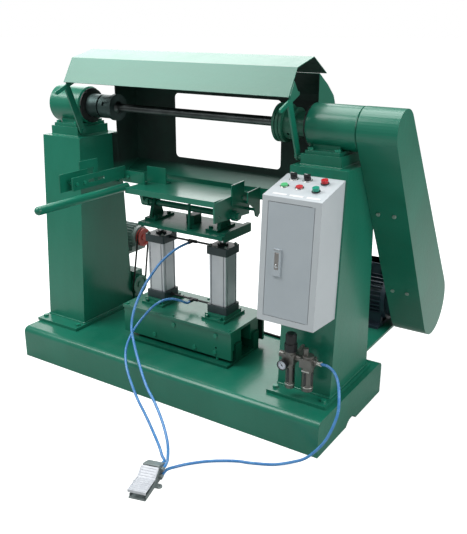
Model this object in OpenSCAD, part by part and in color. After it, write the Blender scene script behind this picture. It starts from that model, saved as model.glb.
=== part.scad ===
// Cutlery polishing machine: a belt-driven spindle on two tapered columns, over a lifting, rocking
// table that two air cylinders carry on a sliding carriage.
// Millimetres. X runs along the spindle, -Y points to the operator, +Z is up.
// The origin is the centre of the base's underside.

/* [Base] */
// Width of the base, along the spindle
base_w = 1700; // [1680:10:2000]
// Depth of the base, front to back
base_d = 655; // [645:5:800]
// Height of the base
base_h = 160; // [120:5:200]
// Thickness of the base's plates
base_wall = 12; // [8:1:16]
// Radius of the base's long top edges
base_edge_r = 28; // [18:1:40]
// Width of the arched notch in each end wall
notch_w = 100; // [60:5:160]
// Height of that notch
notch_h = 26; // [16:1:30]

/* [Columns] */
// Width of a column, along the spindle
col_w = 250; // [230:5:270]
// Depth of a column at its foot
col_foot_d = 385; // [370:5:400]
// Depth of a column at its top
col_top_d = 283; // [270:5:310]
// Height of a column above its flange
col_h = 950; // [930:10:1050]
// Thickness of the column's plates
col_wall = 10; // [6:1:14]
// Distance between the two column centres
col_span = 1406; // [1390:2:1450]
// Thickness of a foot flange
flange_t = 15; // [10:1:20]
// How far a foot flange stands out at the front
flange_front = 75; // [60:5:85]
// How far a foot flange stands out at its sides and back
flange_side = 14; // [12:1:18]
// Length of a spacer block on a column
spacer_len = 178; // [170:2:190]
// Depth of a spacer block
spacer_d = 214; // [204:2:230]
// Height of a spacer block
spacer_h = 44; // [40:1:60]

/* [Spindle] */
// Height of the spindle's axis above the spacer blocks
spindle_rise = 99; // [96:1:110]
// Radius of the visible middle of the shaft
shaft_r = 20; // [15:1:26]
// Radius of the shaft's journals
journal_r = 30; // [28:1:34]
// Radius of the bearing housings
housing_r = 90; // [84:1:94]
// Length of the left housing
left_housing_len = 206; // [196:2:220]
// Length of the right housing
right_housing_len = 224; // [206:1:230]
// Radius of the left collar stack
collar_r = 56; // [50:1:60]
// Length of the left collar stack
collar_len = 141; // [120:1:160]
// Radius of the left clamping nut
nut_r = 63; // [60:1:70]
// Radius of the right hub's grooved lands
hub_r = 80; // [74:1:86]
// Radius of the hub behind its lands
hub_body_r = 66; // [60:1:70]

/* [Belt drive] */
// Width of the belt guard
guard_w = 164; // [160:2:200]
// Radius of the guard's top about the spindle
guard_top_r = 91; // [88:1:100]
// Radius of the guard's foot about the motor
guard_foot_r = 153; // [145:1:165]
// Thickness of the guard's sheet
guard_wall = 3; // [2:0.5:5]
// Distance of the motor's axis behind the spindle's
motor_back = 605; // [595:5:640]
// Height of the motor bracket's underside above the base
bracket_lift = 45; // [35:1:60]
// Radius of the spindle pulley
spindle_pulley_r = 60; // [52:1:70]
// Radius of the motor pulley
motor_pulley_r = 105; // [95:1:120]

/* [Hood] */
// Thickness of the hood's and the rear shield's sheet
sheet_t = 3; // [2:0.5:4]
// Reach of the hood's front lip before the spindle
hood_reach = 177; // [170:1:190]
// Height of the hood's ridge above the spindle
hood_rise = 265; // [255:1:290]
// Distance of the rear shield's panel behind the spindle
shield_back = 242; // [236:1:260]
// Drop of the rear shield's lip below the spindle
shield_drop = 336; // [330:1:340]
// Width of the window in the rear shield
window_w = 608; // [500:4:700]
// Height of that window
window_h = 316; // [240:4:330]
// Corner radius of that window
window_r = 22; // [10:1:40]

/* [Carriage] */
// Length of the carriage, along the spindle
carriage_w = 643; // [630:1:660]
// Depth of the carriage
carriage_d = 305; // [300:1:315]
// Height of the carriage's top above the base
carriage_rise = 170; // [160:1:180]
// Thickness of the carriage's top plate
carriage_top_t = 14; // [10:1:20]
// Distance between the two cylinders
cyl_span = 365; // [350:1:380]
// Length of a cylinder barrel
barrel_h = 251; // [240:1:280]
// Side of the square barrel profile
barrel_s = 95; // [92:1:100]
// Side of a cylinder's square end cap
cap_s = 112; // [106:1:118]
// Height of an end cap
cap_h = 38; // [32:1:44]
// Bore of a cylinder, as a radius
bore_r = 40; // [36:1:42]
// Radius of a piston rod
rod_r = 12.5; // [10:0.5:16]
// Height of the lift plate above the cylinders
rod_show = 61; // [50:1:80]

/* [Table] */
// Height of the tilt shaft above the lift plate
tilt_rise = 70; // [60:1:90]
// Height of the table's top above the tilt shaft
table_rise = 90; // [84:1:100]
// Radius of the tilt shaft
tilt_r = 15; // [12:1:18]
// Width of the table, along the spindle
table_w = 508; // [500:2:520]
// Full depth of the table's lower plate
table_d = 287; // [280:1:290]
// Depth of the bright plate on top of it
wear_d = 224; // [200:2:240]
// Length of the handle tube
handle_len = 550; // [450:10:650]
// Radius of the handle tube
handle_r = 19; // [14:1:22]

/* [Control box] */
// Width of the control box
box_w = 252; // [240:2:270]
// Depth of the control box
box_d = 192; // [180:2:210]
// Height of its front
box_front_h = 504; // [490:2:530]
// Rise of its sloping top, from front to back
box_rise = 60; // [40:2:80]
// Width of its door
door_w = 196; // [190:2:204]
// Height of its door
door_h = 456; // [440:2:460]
// Height of the box's underside above the base
box_above_base = 368; // [360:2:390]

/* [Foot valve and hoses] */
// Width of the foot valve's treadle
treadle_w = 74; // [70:1:80]
// Length of the foot valve
valve_len = 184; // [180:1:190]
// Height of the foot valve
valve_h = 66; // [64:1:74]
// Outer diameter of the air hoses
hose_d = 12; // [8:1:14]

/* [Hidden] */
$fn = 64;

// Clearances and overruns that several pieces share
run_gap = 0.05;
move_gap = 0.4;
ring_gap = 2;
cut = 4;

// Colours
green = [0.08, 0.42, 0.32];
dark_green = [0.05, 0.30, 0.22];
grey = [0.70, 0.73, 0.78];
steel = [0.72, 0.74, 0.76];
black = [0.08, 0.08, 0.10];
blue = [0.25, 0.50, 0.85];

// Centres and heights of the main structure; a column's foot stands a little before its top
col_shift = -19;
col_fore = 6;
spindle_y = 52;
left_col_x = col_shift - col_span/2;
right_col_x = col_shift + col_span/2;
left_face = left_col_x + col_w/2;
right_face = right_col_x - col_w/2;
col_z0 = base_h + flange_t;
col_z1 = col_z0 + col_h;
spacer_z1 = col_z1 + spacer_h;
spindle_z = spacer_z1 + spindle_rise;
function col_half(z) = col_foot_d/2 + (col_top_d - col_foot_d)/2*(z - col_z0)/col_h;
function col_mid(z) = spindle_y - col_fore*(col_z1 - z)/col_h;
function col_front(z) = col_mid(z) - col_half(z);
function col_back(z) = col_mid(z) + col_half(z);
front_lean_deg = atan((col_front(col_z1) - col_front(col_z0))/col_h);

// ---- shared shapes ----

// A box between two corners
module slab(p, q) {
    translate(p) cube(q - p);
}

// A YZ outline extruded along X, from x0 to x1
module prism_x(x0, x1) {
    translate([x0, 0, 0]) rotate([90, 0, 90]) linear_extrude(x1 - x0) children();
}

// An XZ outline extruded along Y, from y0 to y1
module prism_y(y0, y1) {
    translate([0, y1, 0]) rotate([90, 0, 0]) linear_extrude(y1 - y0) children();
}

module rod_x(x0, x1, y, z, r) {
    translate([x0, y, z]) rotate([0, 90, 0]) cylinder(h = x1 - x0, r = r);
}

module rod_y(y0, y1, x, z, r) {
    translate([x, y0, z]) rotate([-90, 0, 0]) cylinder(h = y1 - y0, r = r);
}

module rod_z(z0, z1, x, y, r) {
    translate([x, y, z0]) cylinder(h = z1 - z0, r = r);
}

// A turned piece about an axis along X; its profile is a list of [radius, x]
module turned_x(y, z, profile) {
    translate([0, y, z]) rotate([0, 90, 0]) rotate_extrude() polygon(profile);
}

// Hex heads that face +Z, -Y and +X
module hex_z(x, y, z, r, h) {
    translate([x, y, z]) cylinder(h = h, r = r, $fn = 6);
}

module hex_y(x, y, z, r, h) {
    translate([x, y, z]) rotate([90, 0, 0]) cylinder(h = h, r = r, $fn = 6);
}

module hex_x(x, y, z, r, h) {
    translate([x, y, z]) rotate([0, 90, 0]) cylinder(h = h, r = r, $fn = 6);
}

module round_square(w, d, r) {
    union() {
        square([w - 2*r, d], center = true);
        square([w, d - 2*r], center = true);
        for (i = [-1, 1], j = [-1, 1]) translate([i*(w/2 - r), j*(d/2 - r)]) circle(r);
    }
}

// A loop round two circles, such as a belt or a belt guard, in the YZ plane
loop_steps = 24;
module loop2d(c1, r1, c2, r2) {
    n = loop_steps;
    a = atan2(c2.y - c1.y, c2.x - c1.x);
    b = acos((r1 - r2)/norm(c2 - c1));
    polygon(concat(
        [for (i = [0 : n]) let (t = a + b + i*(360 - 2*b)/n) c1 + r1*[cos(t), sin(t)]],
        [for (i = [0 : n]) let (t = a - b + i*2*b/n) c2 + r2*[cos(t), sin(t)]]));
}

// A bent sheet: a line of points thickened to its left by t, with mitred bends
function seg_normal(p, q) = [p.y - q.y, q.x - p.x]/norm(q - p);
function mitre(p, i, t) =
    i == 0 ? p[0] + t*seg_normal(p[0], p[1]) :
    i == len(p) - 1 ? p[i] + t*seg_normal(p[i - 1], p[i]) :
    let (m = seg_normal(p[i - 1], p[i]), n = seg_normal(p[i], p[i + 1])) p[i] + t*(m + n)/(1 + m*n);
module bent_sheet(p, t) {
    polygon(concat(p, [for (i = [len(p) - 1 : -1 : 0]) mitre(p, i, t)]));
}

// Points of an outline given as shares of two sizes, from a corner
function placed(shares, corner, size) =
    [for (s = shares) [corner.x + s.x*size.x, corner.y + s.y*size.y]];

// A V-belt pulley along X with two grooves, centred on x = 0
groove_top = 14;
groove_foot = 8;
groove_depth = 12;
groove_pitch = 22;
pulley_w = 50;
module pulley(r, bore) {
    g = groove_pitch/2;
    t = groove_top/2;
    f = groove_foot/2;
    d = groove_depth;
    turned_x(0, 0, concat([[bore, -pulley_w/2], [r, -pulley_w/2]],
        [for (s = [-1, 1]) each [[r, s*g - t], [r - d, s*g - f], [r - d, s*g + f], [r, s*g + t]]],
        [[r, pulley_w/2], [bore, pulley_w/2]]));
}

// ---- base and columns ----

module base_profile(w, h, r) {
    union() {
        translate([-w/2, 0]) square([w, h - r]);
        translate([r - w/2, 0]) square([w - 2*r, h]);
        for (s = [-1, 1]) translate([s*(w/2 - r), h - r]) circle(r);
    }
}

module base_frame() {
    t = base_wall;
    arch_r = (notch_w*notch_w/4 + notch_h*notch_h)/(2*notch_h);
    color(green) difference() {
        prism_x(-base_w/2, base_w/2) base_profile(base_d, base_h, base_edge_r);
        prism_x(t - base_w/2, base_w/2 - t) translate([0, t])
            base_profile(base_d - 2*t, base_h - 2*t, base_edge_r - t);
        for (s = [-1, 1]) prism_x(s*(base_w - t)/2 - t, s*(base_w - t)/2 + t) intersection() {
            translate([-notch_w/2, -cut]) square([notch_w, notch_h + cut]);
            translate([0, notch_h - arch_r]) circle(arch_r);
        }
    }
}

// A tapered box column, open underneath, on its flange
module column(x) {
    w = col_wall;
    outline = [[col_front(col_z0), col_z0], [col_back(col_z0), col_z0],
               [col_back(col_z1), col_z1], [col_front(col_z1), col_z1]];
    inside = [[col_front(col_z0) + w, base_h - cut], [col_back(col_z0) - w, base_h - cut],
              [col_back(col_z1) - w, col_z1 - w], [col_front(col_z1) + w, col_z1 - w]];
    difference() {
        union() {
            prism_x(x - col_w/2, x + col_w/2) polygon(outline);
            slab([x - col_w/2 - flange_side, col_front(col_z0) - flange_front, base_h],
                 [x + col_w/2 + flange_side, col_back(col_z0) + flange_side, col_z0]);
        }
        prism_x(x - col_w/2 + w, x + col_w/2 - w) polygon(inside);
    }
}

module left_column() {
    color(green) column(left_col_x);
}

module right_column() {
    color(green) column(right_col_x);
}

spacer_shift = -9;
left_spacer_x = left_col_x + spacer_shift;
right_spacer_x = right_col_x + spacer_shift;
module spacer_blocks() {
    color(green) for (x = [left_spacer_x, right_spacer_x])
        slab([x - spacer_len/2, spindle_y - spacer_d/2, col_z1],
             [x + spacer_len/2, spindle_y + spacer_d/2, spacer_z1]);
}

// Hex bolts of the flanges and the saddles, and the round screws in the guard's front
bolt_r = 13;
bolt_h = 10;
bolt_in = 24;
saddle_t = 14;
saddle_len = 150;
saddle_d = 196;
saddle_bolt_in = 16;
screw_r = 9;
screw_h = 5;
screw_rise_shares = [0.335, 0.785];
screw_side_shares = [0.22, 0.645];
module frame_bolts() {
    color(green) {
        for (x = [left_col_x, right_col_x], s = [-1, 1]) {
            hex_z(x + s*(col_w/2 + flange_side - bolt_in), col_front(col_z0) - flange_front/2,
                  col_z0, bolt_r, bolt_h);
            hex_z(x + s*(col_w/2 - bolt_in), col_back(col_z0) + flange_side/2, col_z0,
                  flange_side*0.4, bolt_h);
        }
        for (x = [left_spacer_x, right_spacer_x], i = [-1, 1], j = [-1, 1])
            hex_z(x + i*(saddle_len/2 - saddle_bolt_in), spindle_y + j*(saddle_d/2 - saddle_bolt_in),
                  spacer_z1 + saddle_t, bolt_r, bolt_h);
    }
    color(steel) for (rise = screw_rise_shares, side = screw_side_shares) {
        p = guard_front(rise);
        translate([guard_x0 + side*guard_w, p.x, p.y]) rotate([guard_front_deg - 90, 0, 0])
            cylinder(h = screw_h, r = screw_r);
    }
}

// ---- spindle housings ----

left_housing_x0 = left_col_x - col_w/2;
left_housing_x1 = left_housing_x0 + left_housing_len;
right_housing_x0 = right_spacer_x - spacer_len/2;
guard_x0 = max(right_housing_x0 + right_housing_len, right_face + col_w + ring_gap/2);
guard_x1 = guard_x0 + guard_w;
housing_chamfer = 7;
pedestal_half = 62;
pedestal_len = 120;
blind_wall = 16;

// A round housing on a pedestal with a bolted saddle; its bore starts at bore_x0
module housing(x0, x1, foot_x, bore_x0) {
    c = housing_chamfer;
    r = housing_r;
    difference() {
        union() {
            turned_x(spindle_y, spindle_z, [[0, x0], [r - c, x0], [r, x0 + c],
                                            [r, x1 - c], [r - c, x1], [0, x1]]);
            slab([foot_x - pedestal_len/2, spindle_y - pedestal_half, spacer_z1],
                 [foot_x + pedestal_len/2, spindle_y + pedestal_half, spindle_z]);
            slab([foot_x - saddle_len/2, spindle_y - saddle_d/2, spacer_z1],
                 [foot_x + saddle_len/2, spindle_y + saddle_d/2, spacer_z1 + saddle_t]);
        }
        rod_x(bore_x0, x1 + cut, spindle_y, spindle_z, journal_r + run_gap);
    }
}

module left_housing() {
    color(green) housing(left_housing_x0, left_housing_x1, left_spacer_x, left_housing_x0 + blind_wall);
}

module right_housing() {
    color(green) housing(right_housing_x0, guard_x0, right_spacer_x, right_housing_x0 - cut);
}

// Dark seal rings with a stepped face and a notched rim
seal_t = 12;
seal_step = 5;
seal_notch = 12;
seal_gap = 0.6;
module seal_ring(x, s) {
    b = journal_r + seal_gap;
    r = housing_r - housing_chamfer;
    difference() {
        turned_x(spindle_y, spindle_z, [[b, x], [r, x], [r, x + s*(seal_t - seal_step)],
            [collar_r + seal_step, x + s*seal_t], [b, x + s*seal_t]]);
        for (a = [0 : 60 : 300]) translate([x, spindle_y, spindle_z]) rotate([a, 0, 0])
            translate([0, r, 0]) cube([4*seal_t, seal_notch, seal_notch], center = true);
    }
}

module bearing_seals() {
    color(black) {
        seal_ring(left_housing_x1, 1);
        seal_ring(right_housing_x0, -1);
    }
}

// ---- spindle ----

nut_t = 20;
collar_gap = 10;
collar_gap_share = 0.47;
collar_step = 8;
land_t = 12;
land_gap = 4;
land_step = 6;
hub_body_len = 46;
hub_neck_len = 52;
neck_r = 50;
left_collar_x0 = left_housing_x1 + seal_t + ring_gap;
left_collar_x1 = left_collar_x0 + collar_len;
hub_x2 = right_housing_x0 - seal_t - ring_gap;
hub_x1 = hub_x2 - hub_neck_len - hub_body_len;
hub_x0 = hub_x1 - 3*land_t - 2*land_gap;
taper_len = 12;
journal_in = 20;
nose_r = 22;
pulley_x = guard_x0 + guard_w/2;
module spindle_shaft() {
    x0 = left_housing_x0 + blind_wall + journal_in;
    x1 = left_collar_x1 + nut_t;
    x2 = guard_x0 + journal_in;
    x3 = pulley_x + pulley_w/2 + journal_in/2;
    color(steel) turned_x(spindle_y, spindle_z, [[0, x0], [journal_r, x0], [journal_r, x1],
        [shaft_r, x1 + taper_len], [shaft_r, hub_x0 - taper_len], [journal_r, hub_x0],
        [journal_r, x2], [nose_r, x2], [nose_r, x3], [0, x3]]);
}

// Left: two collars and a slotted nut. Right: a hub with three grooved lands, a body and a neck.
slot_w = 18;
slot_len = 34;
slot_turn_deg = 70;
hub_hole_r = 6;
hub_hole_deg = 35;
module spindle_collars() {
    b = journal_r;
    xm = left_collar_x0 + collar_len*collar_gap_share;
    r = collar_r - collar_step;
    x = left_collar_x1;
    step = land_t + land_gap;
    color(steel) difference() {
        turned_x(spindle_y, spindle_z, [[b, left_collar_x0], [collar_r, left_collar_x0], [collar_r, xm],
            [r, xm], [r, xm + collar_gap], [collar_r, xm + collar_gap], [collar_r, x],
            [nut_r, x], [nut_r, x + nut_t], [b, x + nut_t]]);
        for (a = [0 : 90 : 270]) translate([0, spindle_y, spindle_z]) rotate([a + slot_turn_deg, 0, 0])
            slab([x - slot_len - land_gap, r, -slot_w/2], [x - land_gap, nut_r + cut, slot_w/2]);
    }
    color(green) difference() {
        turned_x(spindle_y, spindle_z, concat([[b, hub_x0], [hub_r, hub_x0]],
            [for (i = [0, 1]) each [[hub_r, hub_x0 + i*step + land_t],
                                    [hub_r - land_step, hub_x0 + i*step + land_t],
                                    [hub_r - land_step, hub_x0 + (i + 1)*step],
                                    [hub_r, hub_x0 + (i + 1)*step]]],
            [[hub_r, hub_x1], [hub_body_r, hub_x1], [hub_body_r, hub_x1 + hub_body_len],
             [neck_r, hub_x1 + hub_body_len], [neck_r, hub_x2], [b, hub_x2]]));
        translate([0, spindle_y, spindle_z]) rotate([hub_hole_deg, 0, 0])
            rod_y(-hub_body_r - cut, slot_w - hub_body_r, hub_x1 + hub_body_len/2, 0, hub_hole_r);
    }
}

module spindle_pulley() {
    color(steel) translate([pulley_x, spindle_y, spindle_z]) pulley(spindle_pulley_r, nose_r);
}

// ---- belt drive ----

motor_y = spindle_y + motor_back;
bracket_t = 12;
motor_foot_drop = 148;
motor_z = base_h + bracket_lift + bracket_t + motor_foot_drop;
motor_drop = spindle_z - motor_z;
spindle_c = [spindle_y, spindle_z];
motor_c = [motor_y, motor_z];
guard_front_deg = atan2(-motor_drop, motor_back)
    - acos((guard_top_r - guard_foot_r)/norm(motor_c - spindle_c));

// A point on the guard's front, by its share of the way down
function guard_front(share) =
    let (u = [cos(guard_front_deg), sin(guard_front_deg)])
    (1 - share)*(spindle_c + guard_top_r*u) + share*(motor_c + guard_foot_r*u);

guard_hole_r = 42;
module belt_guard() {
    w = guard_wall;
    color(green) difference() {
        prism_x(guard_x0, guard_x1) loop2d(spindle_c, guard_top_r, motor_c, guard_foot_r);
        prism_x(guard_x0 + w, guard_x1 - w)
            loop2d(spindle_c, guard_top_r - w, motor_c, guard_foot_r - w);
        rod_x(guard_x0 - cut, guard_x0 + w + cut, spindle_y, spindle_z, guard_hole_r);
        rod_x(guard_x0 - cut, guard_x0 + w + cut, motor_y, motor_z, guard_hole_r);
    }
}

belt_w = 7;
belt_t = 9;
module drive_belts() {
    r1 = spindle_pulley_r - groove_depth + move_gap;
    r2 = motor_pulley_r - groove_depth + move_gap;
    color(black) for (s = [-1, 1]) {
        x = pulley_x + s*groove_pitch/2;
        prism_x(x - belt_w/2, x + belt_w/2) difference() {
            loop2d(spindle_c, r1 + belt_t, motor_c, r2 + belt_t);
            loop2d(spindle_c, r1, motor_c, r2);
        }
    }
}

// Foot-mounted motor: finned frame, a long fan cowl, an end bell, feet and a terminal box
motor_len = 330;
motor_gap = 25;
motor_core_r = 106;
motor_fin_r = 122;
motor_fin_t = 4;
motor_fins = 32;
motor_bell = 46;
motor_foot_half = 126;
motor_foot_t = 16;
motor_web = 26;
motor_shaft_r = 19;
motor_bore_len = 110;
terminal = [110, 90, 48];
motor_x1 = guard_x0 - motor_gap;
motor_x0 = motor_x1 - motor_len;
module main_motor() {
    foot_z = motor_z - motor_foot_drop;
    x2 = motor_x0 + 3*motor_bell;
    x3 = motor_x1 - motor_bell;
    y = motor_y;
    web_y = motor_foot_half*0.6;
    color([0.12, 0.16, 0.26]) difference() {
        union() {
            rod_x(motor_x0, motor_x1, y, motor_z, motor_core_r);
            prism_x(motor_x0 + 2*motor_bell, x3) translate(motor_c)
                for (i = [0 : motor_fins - 1]) rotate(i*360/motor_fins)
                    translate([0, -motor_fin_t/2]) square([motor_fin_r, motor_fin_t]);
            rod_x(motor_x0, motor_x0 + 2*motor_bell, y, motor_z, motor_fin_r);
            rod_x(x3, x3 + motor_bell/2, y, motor_z, motor_fin_r);
            slab([x2, y - motor_foot_half, foot_z], [x3, y + motor_foot_half, foot_z + motor_foot_t]);
            for (s = [-1, 1]) slab([x2, y + s*web_y - motor_web/2, foot_z],
                                   [x3, y + s*web_y + motor_web/2, motor_z]);
            slab([x2, y - terminal.y/2, motor_z],
                 [x2 + terminal.x, y + terminal.y/2, motor_z + motor_fin_r + terminal.z]);
        }
        rod_x(motor_x1 - motor_bore_len, motor_x1 + cut, y, motor_z, motor_shaft_r + run_gap);
    }
}

module motor_pulley() {
    x0 = motor_x1 - motor_bore_len + journal_in/2;
    color(steel) union() {
        translate([pulley_x, motor_y, motor_z]) pulley(motor_pulley_r, 0);
        rod_x(x0, pulley_x - pulley_w/2, motor_y, motor_z, motor_shaft_r);
    }
}

bracket_over = 7;
gusset_lip = 22;
gusset_drop = 26;
gusset_shares = [0.17, 0.75];
module motor_bracket() {
    z1 = motor_z - motor_foot_drop;
    z0 = z1 - bracket_t;
    y1 = motor_y + motor_foot_half + bracket_over;
    z2 = z0 - gusset_drop;
    color(green) union() {
        prism_x(right_face, motor_x1)
            polygon([[col_back(z0), z0], [y1, z0], [y1, z1], [col_back(z1), z1]]);
        for (share = gusset_shares) {
            x = right_face + share*col_w;
            prism_x(x, x + bracket_t)
                polygon([[col_back(z0), z0], [y1, z0], [y1, z0 - gusset_lip], [col_back(z2), z2]]);
        }
    }
}

// ---- hood, its arms and the rear shield ----

// The hood's bends and the shield's, as shares of their reach and height about the spindle's axis
hood_shares = [[-1, 0.464], [-0.627, 0.872], [0.158, 1], [0.83, 0.736]];
shield_shares = [[0.7, -1.17], [0.67, -1], [1, -0.866], [1, 0.2], [0.934, 0.286], [0.69, 0.429],
    [0.36, 0.577]];
hood_over = 3;
hood_points = placed(hood_shares, spindle_c, [hood_reach, hood_rise]);
module hood() {
    color(green) prism_x(left_housing_x1, right_face + hood_over) bent_sheet(hood_points, -sheet_t);
}

// A flat bar arm, a cross bar with round ends under the hood's lip, and a tab up to its inner side
arm_t = 8;
arm_half = 17;
arm_boss_r = 14;
arm_bolt_r = 11;
arm_bolt_h = 8;
arm_foot_back = 23;
arm_foot_drop = 17;
arm_lip_back = 8;
arm_lip_drop = 18;
arm_foot = [spindle_y - spacer_d/2 + arm_foot_back, spacer_z1 - arm_foot_drop];
arm_top = hood_points[0] + [arm_lip_back, -arm_lip_drop];
clip_len = 142;
clip_half = 9;
clip_deg = 22;
tab_shares = [0.06, 0.55];
left_arm_gap = 8;
right_arm_gap = 20;
module arm2d() {
    d = (arm_top - arm_foot)/norm(arm_top - arm_foot);
    n = [-d.y, d.x]*arm_half;
    a = hood_points[0];
    b = hood_points[1];
    under = -sheet_t*seg_normal(a, b);
    c = clip_len/2*[cos(clip_deg), sin(clip_deg)];
    union() {
        translate(arm_foot) circle(arm_half);
        polygon([arm_foot - n, arm_top - n, arm_top + n, arm_foot + n]);
        translate(arm_top) rotate(clip_deg) square([clip_len, 2*clip_half], center = true);
        for (s = [-1, 1]) translate(arm_top + s*c) circle(clip_half);
        polygon([arm_top, a + under + tab_shares[0]*(b - a), a + under + tab_shares[1]*(b - a),
                 arm_top + c]);
    }
}

module hood_arms() {
    left = left_spacer_x + spacer_len/2;
    right = right_spacer_x - spacer_len/2;
    y = arm_foot.x;
    z = arm_foot.y;
    color(green) union() {
        prism_x(left + left_arm_gap, left + left_arm_gap + arm_t) arm2d();
        rod_x(left, left + left_arm_gap, y, z, arm_boss_r);
        hex_x(left + left_arm_gap + arm_t, y, z, arm_bolt_r, arm_bolt_h);
    }
    color(green) union() {
        prism_x(right - right_arm_gap - arm_t, right - right_arm_gap) arm2d();
        rod_x(right - right_arm_gap, right, y, z, arm_boss_r);
        hex_x(right - right_arm_gap - arm_t - arm_bolt_h, y, z, arm_bolt_r, arm_bolt_h);
    }
}

// Panel with a window, a sloping lower lip, a crown that bends forward, two cheeks and a wall flange
shield_in = 33;
window_drop = 258;
window_shift = -5;
shield_points = placed(shield_shares, spindle_c, [shield_back, shield_drop]);
shield_x0 = left_face + shield_in;
module rear_shield() {
    p = shield_points;
    front = p[6].x;
    y = p[2].x;
    color(dark_green) union() {
        difference() {
            prism_x(shield_x0, right_face) bent_sheet(p, -sheet_t);
            prism_y(y - cut, y + sheet_t + cut)
                translate([window_shift, spindle_z - window_drop + window_h/2])
                    round_square(window_w, window_h, window_r);
        }
        for (x = [shield_x0, right_face - sheet_t]) prism_x(x, x + sheet_t)
            polygon(concat([[front, p[0].y]], p));
        slab([left_face, front, p[0].y], [shield_x0 + sheet_t, front + sheet_t, col_z1]);
    }
}

// ---- control box on the right column's front, in a frame that leans with the column ----

box_z = base_h + box_above_base;
box_shift = -8;
box_x = right_col_x + box_shift;
box_t = 2;
door_gap = 2;
door_pan = 16;
door_rise = 26;
slope_len = norm([box_d, box_rise]);
slope_deg = atan(box_rise/box_d);
module box_frame() {
    translate([box_x, col_front(box_z), box_z]) rotate([-front_lean_deg, 0, 0]) children();
}

module slope_frame() {
    translate([0, -box_d, box_front_h]) rotate([slope_deg, 0, 0]) children();
}

module box_outline(t) {
    polygon([[t - box_d, t], [-t, t], [-t, box_front_h + box_rise - t], [t - box_d, box_front_h - t]]);
}

// Places of the controls, as shares of the box's width and of the slope's length
red_place_share = [0.26, 0.73];
green_place_share = [0.25, 0.38];
left_selector_share = [-0.30, 0.80];
right_selector_share = [-0.065, 0.80];
lamp_shares = [[-0.32, 0.45], [-0.06, 0.45]];
function on_slope(share) = [share.x*box_w, share.y*slope_len];
hole_shares = [red_place_share, green_place_share, left_selector_share, right_selector_share];
stem_r = 11;
bezel_r = 17;
bezel_t = 3;
button_r = 14;
button_h = 12;
button_gap = 5;
plate_t = 3;
plate_gap = 12;
plate_hold_shares = [0.15, 0.85];
// The door turns on two short pins, each in an ear behind the edge of the opening
pin_inset = [3, 3.5];
hinge_pin_r = 2;
hinge_pin_len = 6;
hinge_ear = [10, 8, 8];
ear_beyond = 3;
hinge_x = door_w/2 - pin_inset.x;
module control_box() {
    o = door_gap;
    y = -box_d;
    ears = [door_rise - move_gap - hinge_ear.z, door_rise + door_h + move_gap];
    color(grey) box_frame() difference() {
    union() {
        difference() {
            prism_x(-box_w/2, box_w/2) box_outline(0);
            prism_x(box_t - box_w/2, box_w/2 - box_t) box_outline(box_t);
            slab([-door_w/2 - o, y - cut, door_rise - o],
                 [door_w/2 + o, y + box_t + cut, door_rise + door_h + o]);
            slope_frame() for (share = hole_shares) {
                p = on_slope(share);
                rod_z(-box_t - cut, cut, p.x, p.y, stem_r + run_gap);
            }
        }
        slab([-door_w/2, -plate_gap, door_rise], [door_w/2, plate_t - plate_gap, door_rise + door_h]);
        for (share = plate_hold_shares, s = [-1, 1])
            rod_y(plate_t - plate_gap, -box_t, s*door_w/3, door_rise + share*door_h, stem_r);
        slope_frame() for (share = hole_shares) difference() {
            p = on_slope(share);
            rod_z(0, bezel_t, p.x, p.y, bezel_r);
            rod_z(-cut, bezel_t + cut, p.x, p.y, stem_r + run_gap);
        }
        for (z = ears) slab([door_w/2 - hinge_ear.x, y, z],
                            [door_w/2 + o + ear_beyond, y + hinge_ear.y, z + hinge_ear.z]);
    }
    for (z = ears) rod_z(z - cut, z + hinge_ear.z + cut, hinge_x, y + pin_inset.y,
                         hinge_pin_r + run_gap);
    }
}

lamp_h = 9;
module pilot_lamps() {
    box_frame() slope_frame() for (i = [0, 1]) {
        p = on_slope(lamp_shares[i]);
        color(i == 0 ? [0.35, 0.85, 0.45] : [0.85, 0.12, 0.12]) rod_z(0, lamp_h, p.x, p.y, button_r);
    }
}

// A push button's cap on its stem, which slides in the box's top
module push_button(p) {
    z = bezel_t + button_gap;
    box_frame() slope_frame() union() {
        rod_z(z, z + button_h, p.x, p.y, button_r);
        rod_z(-button_h, z, p.x, p.y, stem_r);
    }
}

module red_button() {
    color([0.85, 0.10, 0.10]) push_button(on_slope(red_place_share));
}

module green_button() {
    color([0.05, 0.55, 0.40]) push_button(on_slope(green_place_share));
}

// A selector: round skirt, a grip bar across it, and its stem
grip = [26, 9, 14];
module selector(p) {
    z = bezel_t + move_gap;
    box_frame() slope_frame() union() {
        rod_z(z, z + grip.y, p.x, p.y, button_r);
        translate([p.x - grip.x/2, p.y - grip.y/2, z]) cube([grip.x, grip.y, grip.y + grip.z]);
        rod_z(-button_h, z, p.x, p.y, stem_r);
    }
}

module left_selector() {
    color(black) selector(on_slope(left_selector_share));
}

module right_selector() {
    color(black) selector(on_slope(right_selector_share));
}

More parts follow.
